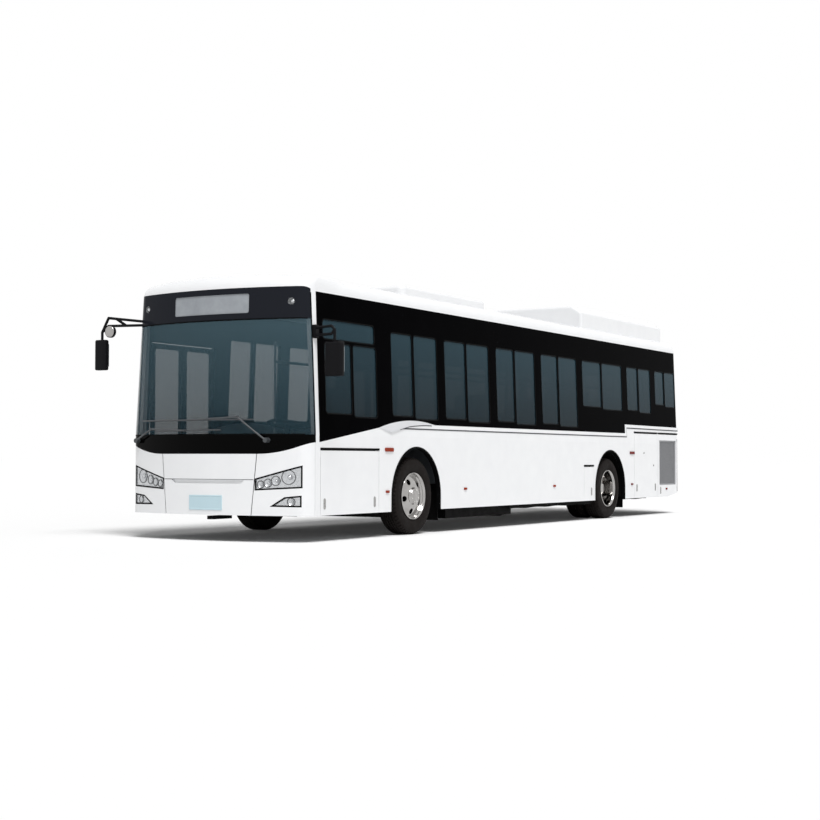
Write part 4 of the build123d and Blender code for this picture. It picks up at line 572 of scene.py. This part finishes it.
def round_box(left, right, low, high, radius):
    """Closed outline of a rounded rectangle: a quarter circle about each corner's centre, in turn."""
    quarter = np.repeat(np.arange(4), CORNER_POINTS)
    angle = np.pi / 2 * (quarter + np.tile(np.linspace(0, 1, CORNER_POINTS), 4))
    centre_x = np.array([right - radius, left + radius, left + radius, right - radius])[quarter]
    centre_y = np.array([high - radius, high - radius, low + radius, low + radius])[quarter]
    return np.stack([centre_x + radius * np.cos(angle), centre_y + radius * np.sin(angle)], -1)


for hand, way in SIDES:
    outlines = []
    for number, (front, divider, rear, sill, top) in enumerate(WINDOWS.tolist()):
        if way < 0 and number in DOORWAY_WINDOWS:
            continue
        outlines.append(round_box(front, divider - PANE_BAR / 2, sill + PANE_RAISE, top, PANE_R))
        outlines.append(round_box(divider + PANE_BAR / 2, rear, sill, top, PANE_R))
    if way > 0:
        outlines.append(round_box(*TRANSOM, PANE_R))
    gaskets = [strip_rings(outline, GASKET, side_place(way), True) for outline in outlines]
    add_piece(f"window_gaskets_{hand}", gaskets, "coach_body", seal_rubber, loop=True)


# Windscreen and mask: one bowed sheet of laminated glass between a header and a scuttle of enamel-backed
# glass, bonded in and edged by a rubber finisher. The header is a dark grey, the scuttle black.
# The screen glass is lighter towards its top: a painted reflection of the bright sky.
screen_glass = tint_glass("laminated_screen_glass_painted_reflection", "#2C4049", "#506872", 1.2, 2.5, 0.46, 0.02)
mask_glass = tint_glass("enamel_backed_mask_glass", "#010101", "#202228", 1.6, 2.4, 1.0, 0.10)
dress(screen_glass, "windscreen")
dress(mask_glass, "front_mask")
NOSE_Y = -6.000
FRONT_RAKE = 0.055
FRONT_BOW = 0.220
CORNER_R = 0.200


def nose_plan(z):
    """The nose's plan at a height: half width, the bow's radius, the bow's centre and the corner's centre.
    The bow is an arc across the bus, moved back evenly above the waist, and the corner is an arc tangent to
    the bow and to the side."""
    half = side_x(z)
    bow = (half**2 + FRONT_BOW**2) / (2 * FRONT_BOW)
    bow_y = NOSE_Y + FRONT_RAKE * np.maximum(0, z - WAIST_Z) / (EAVES_Z - WAIST_Z) + bow
    corner_y = bow_y - np.sqrt((bow - CORNER_R) ** 2 - (half - CORNER_R) ** 2)
    return half, bow, bow_y, corner_y


def on_front(x, z, out):
    """Points standing out ahead of the nose's skin: on the bow, or on the rounded corner beyond its end."""
    x, z, out = np.broadcast_arrays(x, z, out)
    half, bow, bow_y, corner_y = nose_plan(z)
    corner_x = half - CORNER_R
    size = np.abs(x)
    corner = corner_y - np.sqrt(np.maximum(CORNER_R**2 - (size - corner_x) ** 2, 0))
    y = np.where(size > corner_x * bow / (bow - CORNER_R), corner, bow_y - np.sqrt(bow**2 - x**2))
    return np.stack([x, y - out, z], -1)


def front_place(way):
    """The rule that lays a strip on the left half of the nose, or mirrored on the right half."""
    return lambda x, z, out: on_front(way * x, z, out)


def corner_place(way):
    """The rule that lays a strip on a front corner, standing out sideways: the corner's arc up to where the
    straight side begins."""

    def on_corner(y, z, out):
        y, z, out = np.broadcast_arrays(y, z, out)
        half, bow, bow_y, corner_y = nose_plan(z)
        short = np.maximum(corner_y - FRONT_AXLE_Y - y, 0)
        x = half - CORNER_R + np.sqrt(CORNER_R**2 - short**2)
        return np.stack([way * (x + out), FRONT_AXLE_Y + y, z], -1)

    return on_corner


SCREEN_EDGE_Y = -2.262
SCREEN_EDGE_Z = (1.209, 2.508)
SCREEN_RUN = np.linspace(-1.215, 1.215, 81)
UPRIGHT_RUN = np.linspace(1.120, 2.800, 15)
FINISHER = flat_section(-0.006, 0.003, 0.016)
finishers = []
for edge_z in SCREEN_EDGE_Z:
    level = np.stack([SCREEN_RUN, np.full_like(SCREEN_RUN, edge_z)], -1)
    finishers.append(strip_rings(level, FINISHER, on_front))
for hand, way in SIDES:
    upright = np.stack([np.full_like(UPRIGHT_RUN, SCREEN_EDGE_Y), UPRIGHT_RUN], -1)
    finishers.append(strip_rings(upright, FINISHER, corner_place(way)))
add_piece("windscreen_finisher", finishers, "coach_body", seal_rubber)


# Route display: a blank light-emitting matrix behind a grey smoked sheet in the header.
# The rows of dots show faintly through the sheet.
display = finish("grey_display_sheet", "#84898F", "#A4A9AE", 120, (0.15, 0.25))


def cell_relief(material, pitch_mm, depth_mm, strength):
    """A square grid of small cells on a finish: the height is the distance from each cell's middle."""
    tree = material.node_tree
    grid = {"Scale": 1000 / pitch_mm, "Randomness": 0.0}
    cells = add_node(material, "TexVoronoi", grid, [("Vector", tree.nodes["where"].outputs["Object"])])
    relief = {"Strength": strength, "Distance": depth_mm / 1000}
    bump = add_node(material, "Bump", relief, [("Height", cells.outputs["Distance"])])
    tree.links.new(bump.outputs["Normal"], tree.nodes["surface"].inputs["Normal"])


cell_relief(display, 14, 1, 0.5)
dress(display, "destination_sign")


# Head and fog lamps: clear polycarbonate lenses flush with the nose, vacuum-plated reflectors with
# a bowl for each bulb behind them, and black frames round the edge and round each bowl. The lenses are
# almost clear, and the plating is bright with a fine ripple.
lens = finish("clear_polycarbonate", "#DDE1E4", "#EEF1F3", 200, (0.03, 0.05), Alpha=0.16)
reflector = finish("vacuum_plated_reflector", "#B4B6B9", "#D8D9DB", 30, (0.12, 0.25), 0.2, Metallic=1.0)
dress(lens, "front_lamps")
HEAD_OUTLINE = [[0.650, 0.583], [1.193, 0.612], [1.193, 0.860], [0.650, 0.712]]
FOG_OUTLINE = [[0.837, 0.404], [1.185, 0.400], [1.185, 0.526], [1.000, 0.508]]
# Each reflector's ends, then its lower and its upper edge as places and heights.
HEAD_PLATE = (0.660, 1.183, ([0.650, 1.193], [0.593, 0.622]), ([0.650, 1.193], [0.702, 0.850]))
FOG_PLATE = (0.860, 1.175, ([0.837, 1.185], [0.412, 0.408]), ([0.837, 1.000, 1.185], [0.418, 0.500, 0.518]))
HEAD_BOWLS = [(0.715, 0.648, 0.042), (0.800, 0.664, 0.046), (0.893, 0.690, 0.052), (1.040, 0.730, 0.078)]
FOG_BOWLS = [(1.070, 0.457, 0.044)]
REFLECTOR_FACE, REFLECTOR_BACK = -0.010, -0.039
RIB_DEPTH, RIB_PITCH = 0.004, 0.006
BOWL_RIM, BOWL_DEPTH = -0.012, 0.024
BULB_SHARE = 0.36
BULB_DEPTH = 0.034
HEADER_BULB = (1.030, 2.700, 0.030, 0.036)
LAMP_FRAME = np.array(
    [
        [-0.034, -0.002],
        [0.001, -0.002],
        [0.002, 0.004],
        [0.001, 0.013],
        [-0.006, 0.016],
        [-0.034, 0.016],
    ]
)
BEZEL = flat_section(-0.016, -0.007, 0.009)


def along_outline(corners, step=0.03):
    """Points along a closed polygon about every step, with its corners kept."""
    corners = np.array(corners)
    runs = []
    for a, b in zip(corners, np.roll(corners, -1, 0)):
        count = max(2, int(np.linalg.norm(b - a) / step))
        runs.append(a + (b - a) * np.linspace(0, 1, count, endpoint=False)[:, None])
    return np.concatenate(runs)


def reflector_rings(way, left, right, low, high, bowls):
    """A ribbed plate between two straight edges, set back from the lens, that dips by a rounded bowl round
    each bulb: the dip falls off with the square of the distance from the bulb."""
    x = np.linspace(left, right, 64)[:, None]
    low_z = np.interp(x, *low)
    high_z = np.interp(x, *high)
    z = low_z + (high_z - low_z) * np.linspace(0, 1, 26)[None, :]
    out = np.full(z.shape, REFLECTOR_FACE) - RIB_DEPTH * np.sin(x / RIB_PITCH) ** 2
    for bowl_x, bowl_z, radius in bowls:
        away = ((x - bowl_x) ** 2 + (z - bowl_z) ** 2) / radius**2
        out = np.where(away < 1, np.minimum(out, BOWL_RIM - BOWL_DEPTH * (1 - away)), out)
    face = on_front(way * x, z, out)
    back = on_front(way * x, z, REFLECTOR_BACK)
    return np.concatenate([face, back[:, ::-1]], 1)


def bulb_rings(way, x, z, radius, depth):
    """A half ball of glass facing forward: circles that shrink by a cosine as they come ahead by a sine."""
    lift = np.linspace(0, np.pi / 2 * 0.97, 9)[:, None]
    turn = np.linspace(0, 2 * np.pi, 24, endpoint=False)[None, :]
    ring_x = way * x + radius * np.cos(lift) * np.cos(turn)
    ring_z = z + radius * np.cos(lift) * np.sin(turn)
    base = on_front(np.array([[way * x]]), np.array([[z]]), -depth)
    return np.stack([ring_x, base[..., 1] - radius * np.sin(lift) * np.ones_like(turn), ring_z], -1)


bezel_turn = np.linspace(0, 2 * np.pi, 36, endpoint=False)
bezel_circle = np.stack([np.cos(bezel_turn), np.sin(bezel_turn)], -1)
frames, reflectors, bulbs = [], [], []
for hand, way in SIDES:
    for outline in (HEAD_OUTLINE, FOG_OUTLINE):
        frames.append(strip_rings(along_outline(outline), LAMP_FRAME, front_place(way), True))
    reflectors.append(reflector_rings(way, *HEAD_PLATE, HEAD_BOWLS))
    reflectors.append(reflector_rings(way, *FOG_PLATE, FOG_BOWLS))
    for bowl_x, bowl_z, radius in HEAD_BOWLS + FOG_BOWLS:
        bulbs.append(bulb_rings(way, bowl_x, bowl_z, BULB_SHARE * radius, BULB_DEPTH))
        bezel = np.array([bowl_x, bowl_z]) + radius * bezel_circle
        frames.append(strip_rings(bezel, BEZEL, front_place(way), True))
    bulbs.append(bulb_rings(way, *HEADER_BULB))
add_piece("lamp_frames", frames, "coach_body", seal_rubber, loop=True)
add_piece("lamp_reflectors", reflectors, "coach_body", reflector, sharp=50)
add_piece("lamp_bulbs", bulbs, "coach_body", reflector, sharp=60)


# Panel joints of the nose: black foam-backed seals pressed into the two slanting gaps beside the middle
# panel, and a thin grey strip in the crease across it, which is painted shade for the crease's step.
JOINT_LOW = np.array([0.606, 0.306])
JOINT_TOP = np.array([0.672, 0.984])
JOINT_SEAL = flat_section(-0.040, -0.002, 0.0095)
CREASE_Z = 0.702
CREASE_RUN = np.linspace(-0.628, 0.628, 41)
# The grey strip in the crease is painted shade for the step of the crease.
CREASE_SHADE_LINE = flat_section(-0.004, 0.002, 0.006)
joint = JOINT_LOW + np.linspace(0, 1, 25)[:, None] * (JOINT_TOP - JOINT_LOW)
joint_seals = [strip_rings(joint, JOINT_SEAL, front_place(way)) for hand, way in SIDES]
add_piece("panel_joint_seals", joint_seals, "coach_body", seal_rubber)
crease = np.stack([CREASE_RUN, np.full_like(CREASE_RUN, CREASE_Z)], -1)
crease_shade_line = [strip_rings(crease, CREASE_SHADE_LINE, on_front)]
add_piece("nose_crease_painted_shade", crease_shade_line, "coach_body", grey_rubber_and_painted_shade)


# Front plate: a blank pressed aluminium plate with a raised rim, faced in pale blue reflective film,
# screwed to the middle panel. The film has a fine grain.
plate_film = finish("pale_blue_reflective_film", "#B5D0DA", "#C9E0E8", 2, (0.30, 0.40), 0.1)
PLATE_HALF = 0.232
PLATE_LOW, PLATE_TOP = 0.355, 0.522
PLATE_FACE, PLATE_BACK = 0.006, -0.001
RIM_RISE, RIM_INSET, RIM_WIDTH = 0.004, 0.006, 0.004


def plate_rings(half, low, high):
    """A plate on the nose with a rim: its height swells by a bell curve along a line just inside the edge."""
    x = np.linspace(-half, half, 48)[:, None]
    z = np.linspace(low, high, 24)[None, :]
    edge = np.minimum(np.minimum(x + half, half - x), np.minimum(z - low, high - z))
    out = PLATE_FACE + RIM_RISE * np.exp(-(((edge - RIM_INSET) / RIM_WIDTH) ** 2))
    face = on_front(x, z, out)
    back = on_front(x, z, PLATE_BACK)
    return np.concatenate([face, back[:, ::-1]], 1)


add_piece("front_plate", [plate_rings(PLATE_HALF, PLATE_LOW, PLATE_TOP)], "coach_body", plate_film)


# Side lamps and tail lamps: moulded acrylic lenses with fine prisms, amber in front, red towards the tail;
# each tail lamp is one tall lens with an amber and a clear zone under the red.
def zoned_lens(name, axis, edges, colours):
    """Acrylic whose colour changes at given places along one axis, with prisms coarse enough to show."""
    material = finish(name, colours[0], colours[0], 50, (0.12, 0.20), IOR=1.2)
    tree = material.node_tree
    place = add_node(material, "SeparateXYZ", {}, [("Vector", tree.nodes["where"].outputs["Object"])])
    shade = tree.nodes["tone"].outputs[2]
    for edge, colour in zip(edges, colours[1:]):
        step = {"operation": "GREATER_THAN", 1: edge}
        past = add_node(material, "Math", step, [(0, place.outputs[axis])])
        zone = {"data_type": "RGBA", 7: srgb(colour)}
        shade = add_node(material, "Mix", zone, [(0, past.outputs[0]), (6, shade)]).outputs[2]
    tree.links.new(shade, tree.nodes["surface"].inputs["Base Color"])
    cell_relief(material, 20, 3, 0.8)
    return material


marker_acrylic = zoned_lens("side_marker_acrylic", "Y", (3.0,), ("#8E2A08", "#6E0E0C"))
tail_acrylic = zoned_lens("tail_lamp_acrylic", "Z", (1.00, 1.16), ("#D9D6D2", "#C8660E", "#A30F12"))
dress(marker_acrylic, "marker_lamps")
dress(tail_acrylic, "tail_lamps")


# Mirrors: silvered glass set into the rear face of each moulded head, and a domed chromed cap
# pressed on to the front of the small round one. Both mirror sharply.
silvered_glass = finish("silvered_mirror_glass", "#C6CBCF", "#D3D8DB", 200, (0.01, 0.03), Metallic=1.0)
MIRRORS = ((-1.515, -6.005, 2.160, 0.070, 0.150), (1.545, -5.650, 2.040, 0.098, 0.160))
MIRROR_R = 0.030
CAP_X, CAP_Z = -1.400, 2.435
CAP_R = np.array([0.069, 0.068, 0.060, 0.042, 0.018])[:, None]
CAP_Y = np.array([-6.049, -6.053, -6.059, -6.063, -6.065])[:, None]


def mirror_rings(x, y, z, half_x, half_z):
    """A rounded pane facing back: its outline at the head's face, again at the glass face, then drawn in."""
    outline = round_box(-half_x, half_x, -half_z, half_z, MIRROR_R)
    scale = np.array([1.0, 1.0, 0.97])[:, None, None]
    depth = np.array([-0.002, 0.003, 0.004])[:, None]
    flat = outline[None] * scale
    return np.stack([x + flat[..., 0], np.broadcast_to(y + depth, flat.shape[:2]), z + flat[..., 1]], -1)


panes = [mirror_rings(*mirror) for mirror in MIRRORS]
add_piece("mirror_glasses", panes, "coach_body", silvered_glass, sharp=25)
cap_turn = np.linspace(0, 2 * np.pi, 48, endpoint=False)[None, :]
cap_x = CAP_X + CAP_R * np.cos(cap_turn)
cap_z = CAP_Z + CAP_R * np.sin(cap_turn)
cap = np.stack([cap_x, np.broadcast_to(CAP_Y, cap_x.shape), cap_z], -1)
add_piece("round_mirror_cap", [cap], "coach_body", chromed_steel, sharp=60)


# Doors: black-painted aluminium leaves with tempered panes in rubber gaskets,
# and a soft rubber nosing down each closing edge. The paint is half-gloss.
black_leaf_paint = finish("black_leaf_paint", "#08090A", "#111214", 120, (0.20, 0.32), 0.05)
LEAF_X = 1.212
LEAF_T = 0.032
DOORS = {"front_door": (-2.130, -0.880), "middle_door": (2.220, 3.490)}
LEAF_LOW, LEAF_TOP = 0.378, 2.332
LEAF_HINGE, LEAF_FRAME, LEAF_KICK = 0.025, 0.055, 0.260
LEAF_GAP = 0.004
NOSING_BACK = 0.018
NOSING_SHORT = 0.004
NOSING = np.array([[0.0, -0.016], [0.006, -0.014], [0.009, 0.0], [0.006, 0.014], [0.0, 0.016]])


def on_leaf(y, z, out):
    """Points standing out from the outer face of a closed door leaf."""
    y, z, out = np.broadcast_arrays(y, z, out)
    return np.stack([-LEAF_X - LEAF_T / 2 - out, FRONT_AXLE_Y + y, z], -1)


for door, (front, rear) in DOORS.items():
    middle = (front + rear) / 2
    for end, hinge, way in (("front", front + LEAF_HINGE, 1), ("rear", rear - LEAF_HINGE, -1)):
        dress(black_leaf_paint, f"{door}_leaf_{end}")
        dress(side_glass, f"{door}_glass_{end}")
        edge = middle - way * LEAF_GAP
        left = min(hinge, edge) + LEAF_FRAME
        right = max(hinge, edge) - LEAF_FRAME
        outline = round_box(left, right, LEAF_LOW + LEAF_KICK, LEAF_TOP - LEAF_FRAME, PANE_R)
        gasket = [strip_rings(outline, GASKET, on_leaf, True)]
        add_piece(f"{door}_gasket_{end}", gasket, f"{door}_{end}", seal_rubber, loop=True)
        nose_y = edge - way * NOSING_BACK
        closing = np.array([[nose_y, LEAF_LOW + NOSING_SHORT], [nose_y, LEAF_TOP - NOSING_SHORT]])
        nosing = [strip_rings(closing, NOSING, on_leaf)]
        add_piece(f"{door}_nosing_{end}", nosing, f"{door}_{end}", seal_rubber)


# Flap fittings: a rubber rain strip over each top hinge, a seal in the gap at each end, oblong zinc pull
# latches near the lower corners and round key locks on the engine flap.
FLAPS = {
    "locker_flap": (-2.155, -0.905, 1.030),
    "filler_flap": (5.160, 5.520, 0.822),
    "engine_flap": (7.225, 8.275, 1.370),
    "radiator_flap": (8.325, 9.250, 1.370),
}
PULLS = {
    "locker_flap": ((-2.075, 0.430), (-1.000, 0.430)),
    "filler_flap": ((5.440, 0.440),),
    "engine_flap": ((7.330, 0.470), (8.170, 0.470)),
    "radiator_flap": ((8.425, 0.410),),
}
LOCKS = {"engine_flap": ((7.650, 1.050), (8.090, 0.840))}
RAIN_STRIP = flat_section(-0.002, 0.006, 0.024)
RAIN_RAISE = 0.020
RAIN_OVERHANG = 0.010
EDGE_SEAL = flat_section(-0.030, -0.002, 0.0045)
SEAL_GAP = 0.003
SEAL_LOW, SEAL_SHORT = 0.380, 0.070
# For each boss: half length, half height, corner radius, heights over the skin and scale at each height.
PULL = (0.020, 0.062, 0.018, (-0.002, 0.004, 0.006, 0.006, 0.002), (1.0, 1.0, 0.92, 0.78, 0.66))
LOCK = (0.016, 0.016, 0.0155, (-0.002, 0.005, 0.007), (1.0, 1.0, 0.8))


def button_rings(y, z, half_y, half_z, radius, heights, scales):
    """A low boss on the left skin: a rounded outline drawn in by a scale at each height."""
    outline = round_box(-half_y, half_y, -half_z, half_z, radius)
    flat = outline[None] * np.array(scales)[:, None, None]
    return on_side(1, y + flat[..., 0], z + flat[..., 1], np.array(heights)[:, None])


rain_strips, edge_seals = [], []
for flap, (front, rear, top) in FLAPS.items():
    rain_z = top + RAIN_RAISE
    run = np.array([[front - RAIN_OVERHANG, rain_z], [rear + RAIN_OVERHANG, rain_z]])
    rain_strips.append(strip_rings(run, RAIN_STRIP, side_place(1)))
    for edge in (front - SEAL_GAP, rear + SEAL_GAP):
        run = np.array([[edge, SEAL_LOW], [edge, top - SEAL_SHORT]])
        edge_seals.append(strip_rings(run, EDGE_SEAL, side_place(1)))
add_piece("flap_rain_strips", rain_strips, "coach_body", seal_rubber)
add_piece("flap_edge_seals", edge_seals, "coach_body", seal_rubber)
for flap in FLAPS:
    latches = [button_rings(y, z, *PULL) for y, z in PULLS[flap]]
    latches += [button_rings(y, z, *LOCK) for y, z in LOCKS.get(flap, ())]
    add_piece(f"{flap}_latches", latches, flap, zinc_steel, sharp=40)


# Last marker lamp: a small red acrylic lens with an eased edge,
# screwed to the radiator flap, which carries it when it lifts.
TAIL_MARKER = (0.036, 0.016, 0.010, (-0.002, 0.009, 0.012), (1.0, 1.0, 0.86))
tail_marker = [button_rings(8.704, 0.433, *TAIL_MARKER)]
add_piece("radiator_flap_marker", tail_marker, "radiator_flap", marker_acrylic, sharp=40)


# Radiator grille: anodised aluminium slats in a frame, riveted into the last flap and backed by
# a dark woven insect screen. The weave's waves are drawn coarse enough to show.
anodised = finish("anodised_aluminium", "#8A8B8E", "#A0A1A4", 40, (0.35, 0.45), 0.05, Metallic=0.6)
insect_screen = finish("woven_insect_screen", "#232426", "#3A3B3E", 6, (0.60, 0.80), 0.8)
dress(anodised, "radiator_grille")
SCREEN_ENDS = (8.379, 9.186)
SCREEN_HEIGHTS = (0.504, 1.266)
SCREEN_BACK = 0.046
SCREEN_T = 0.004
WAVE_RATE = 157


def screen_rings():
    """A thin sheet set back behind the slats, whose face is the product of two sine waves."""
    y = np.linspace(*SCREEN_ENDS, 40)[:, None]
    z = np.linspace(*SCREEN_HEIGHTS, 40)[None, :]
    weave = -SCREEN_BACK + 0.001 * np.sin(y * WAVE_RATE) * np.sin(z * WAVE_RATE)
    face = on_side(1, y, z, weave)
    back = on_side(1, y, z, weave - SCREEN_T)
    return np.concatenate([face, back[:, ::-1]], 1)


add_piece("grille_insect_screen", [screen_rings()], "radiator_flap", insect_screen)


# Engine lid and rear window: slanting painted slats, welded into the lid's slots, let the heat out and keep
# spray off; above them the rear pane sits in a rubber gasket.
LOUVRE_Z = 1.000 + 0.062 * (np.arange(9) - 4)
LOUVRE_HALF = 0.596
LOUVRE = np.array([[-0.036, 0.0085], [-0.004, -0.0085], [-0.004, -0.0055], [-0.036, 0.0115]])
REAR_PANE = (-0.850, 0.850, 1.760, 2.480)
REAR_GASKET_SINK = 0.003


def on_rear(x, z, out):
    """Points standing out behind the upright rear skin."""
    x, z, out = np.broadcast_arrays(x, z, out)
    return np.stack([x, -NOSE_Y + out, z], -1)


louvre_paths = [np.array([[-LOUVRE_HALF, z], [LOUVRE_HALF, z]]) for z in LOUVRE_Z]
louvres = [strip_rings(path, LOUVRE, on_rear) for path in louvre_paths]
add_piece("engine_lid_louvres", louvres, "engine_lid", white_paint)
rear_gasket = [strip_rings(round_box(*REAR_PANE, PANE_R), GASKET - [REAR_GASKET_SINK, 0.0], on_rear, True)]
add_piece("rear_window_gasket", rear_gasket, "coach_body", seal_rubber, loop=True)


# Roof units: guards of black-coated wire rings over the four fans of the cooling unit,
# welded to one another and screwed to its lid.
COOLER_TOP = 3.145
FANS = ((-0.420, -2.700), (0.420, -2.700), (-0.420, -1.500), (0.420, -1.500))
GUARD_RADII = (0.09, 0.15, 0.21, 0.27)
WIRE_R = 0.004
WIRE_SEAT = 0.7 * WIRE_R


def wire_ring(x, y, radius):
    """A ring of round wire: a small circle carried round a large one, lying on the unit's lid."""
    turn = np.linspace(0, 2 * np.pi, 64, endpoint=False)[:, None]
    round_wire = np.linspace(0, 2 * np.pi, 8, endpoint=False)[None, :]
    reach = radius + WIRE_R * np.cos(round_wire)
    height = COOLER_TOP + WIRE_SEAT + WIRE_R * np.sin(round_wire)
    return np.stack([x + reach * np.cos(turn), y + reach * np.sin(turn), height * np.ones_like(turn)], -1)


guards = [wire_ring(x, y, radius) for x, y in FANS for radius in GUARD_RADII]
add_piece("cooling_unit_fan_guards", guards, "coach_body", grained_plastic, loop=True)


# Studio: a white floor that takes the shadow, soft daylight from all round and one broad sun-like lamp
# from the upper left, so that the side is a little brighter than the nose.
FLOOR_REACH = 400.0
DAYLIGHT = 0.27
LAMP_STRENGTH = 2.8
LAMP_SPREAD = np.radians(25)
LAMP_TURN = (np.radians(31), 0.0, np.radians(50))
WHITE = (1.0, 1.0, 1.0, 1.0)
floor_white = bpy.data.materials.new("studio_floor")
floor_white.use_nodes = True
floor_white.node_tree.nodes.clear()
ray = add_node(floor_white, "LightPath", {})
matt = add_node(floor_white, "BsdfDiffuse", {"Color": (0.97, 0.97, 0.97, 1.0)})
lift = add_node(floor_white, "Emission", {"Color": WHITE}, [("Strength", ray.outputs["Is Camera Ray"])])
faint = add_node(floor_white, "MixShader", {0: 0.03}, [(1, matt.outputs[0]), (2, lift.outputs[0])])
add_node(floor_white, "OutputMaterial", {}, [("Surface", faint.outputs[0])])
floor_mesh = bpy.data.meshes.new("studio_floor")
floor_corners = np.array([[-1, -1, 0], [1, -1, 0], [1, 1, 0], [-1, 1, 0]]) * FLOOR_REACH
floor_mesh.from_pydata(floor_corners.tolist(), [], [(0, 1, 2, 3)])
floor_mesh.materials.append(floor_white)
studio_floor = bpy.data.objects.new("studio_floor", floor_mesh)
bpy.context.scene.collection.objects.link(studio_floor)

world = bpy.data.worlds.new("white_studio")
bpy.context.scene.world = world
world.use_nodes = True
world.node_tree.nodes.clear()
seen = add_node(world, "LightPath", {})
shown = seen.outputs["Is Camera Ray"]
for kind in ("Is Glossy Ray", "Is Transmission Ray"):
    either = add_node(world, "Math", {"operation": "MAXIMUM"}, [(0, shown), (1, seen.outputs[kind])])
    shown = either.outputs[0]
level = add_node(world, "MapRange", {"To Min": DAYLIGHT, "To Max": 1.0}, [("Value", shown)])
sky = add_node(world, "Background", {"Color": WHITE}, [("Strength", level.outputs["Result"])])
add_node(world, "OutputWorld", {}, [("Surface", sky.outputs[0])])

sun = bpy.data.lights.new("broad_lamp", "SUN")
sun.energy = LAMP_STRENGTH
sun.angle = LAMP_SPREAD
lamp = bpy.data.objects.new("broad_lamp", sun)
lamp.rotation_euler = LAMP_TURN
bpy.context.scene.collection.objects.link(lamp)


# Camera: at the photograph's viewpoint, under a metre above the ground and level within two degrees.
# Yaw, pitch and roll, the place and the lens come from a fit to the wheels, the skirt and the ground.
YAW, PITCH, ROLL = np.radians((30.169, 1.862, 0.130))
CAMERA_PLACE = (10.667, -19.727, 0.934)
look = np.array([-np.sin(YAW) * np.cos(PITCH), np.cos(YAW) * np.cos(PITCH), np.sin(PITCH)])
right = np.array([np.cos(YAW), np.sin(YAW), 0.0])
up = np.cross(right, look)
turned_right = np.cos(ROLL) * right + np.sin(ROLL) * up
turned_up = np.cos(ROLL) * up - np.sin(ROLL) * right
pose = np.eye(4)
pose[:3, :3] = np.stack([turned_right, turned_up, -look], -1)
pose[:3, 3] = CAMERA_PLACE
optics = bpy.data.cameras.new("camera")
optics.lens = 66.51
optics.sensor_width = 36.0
optics.clip_end = 1000.0
camera = bpy.data.objects.new("camera", optics)
camera.matrix_world = Matrix(pose.tolist())
bpy.context.scene.collection.objects.link(camera)
bpy.context.scene.camera = camera
bpy.context.scene.view_settings.view_transform = "Standard"
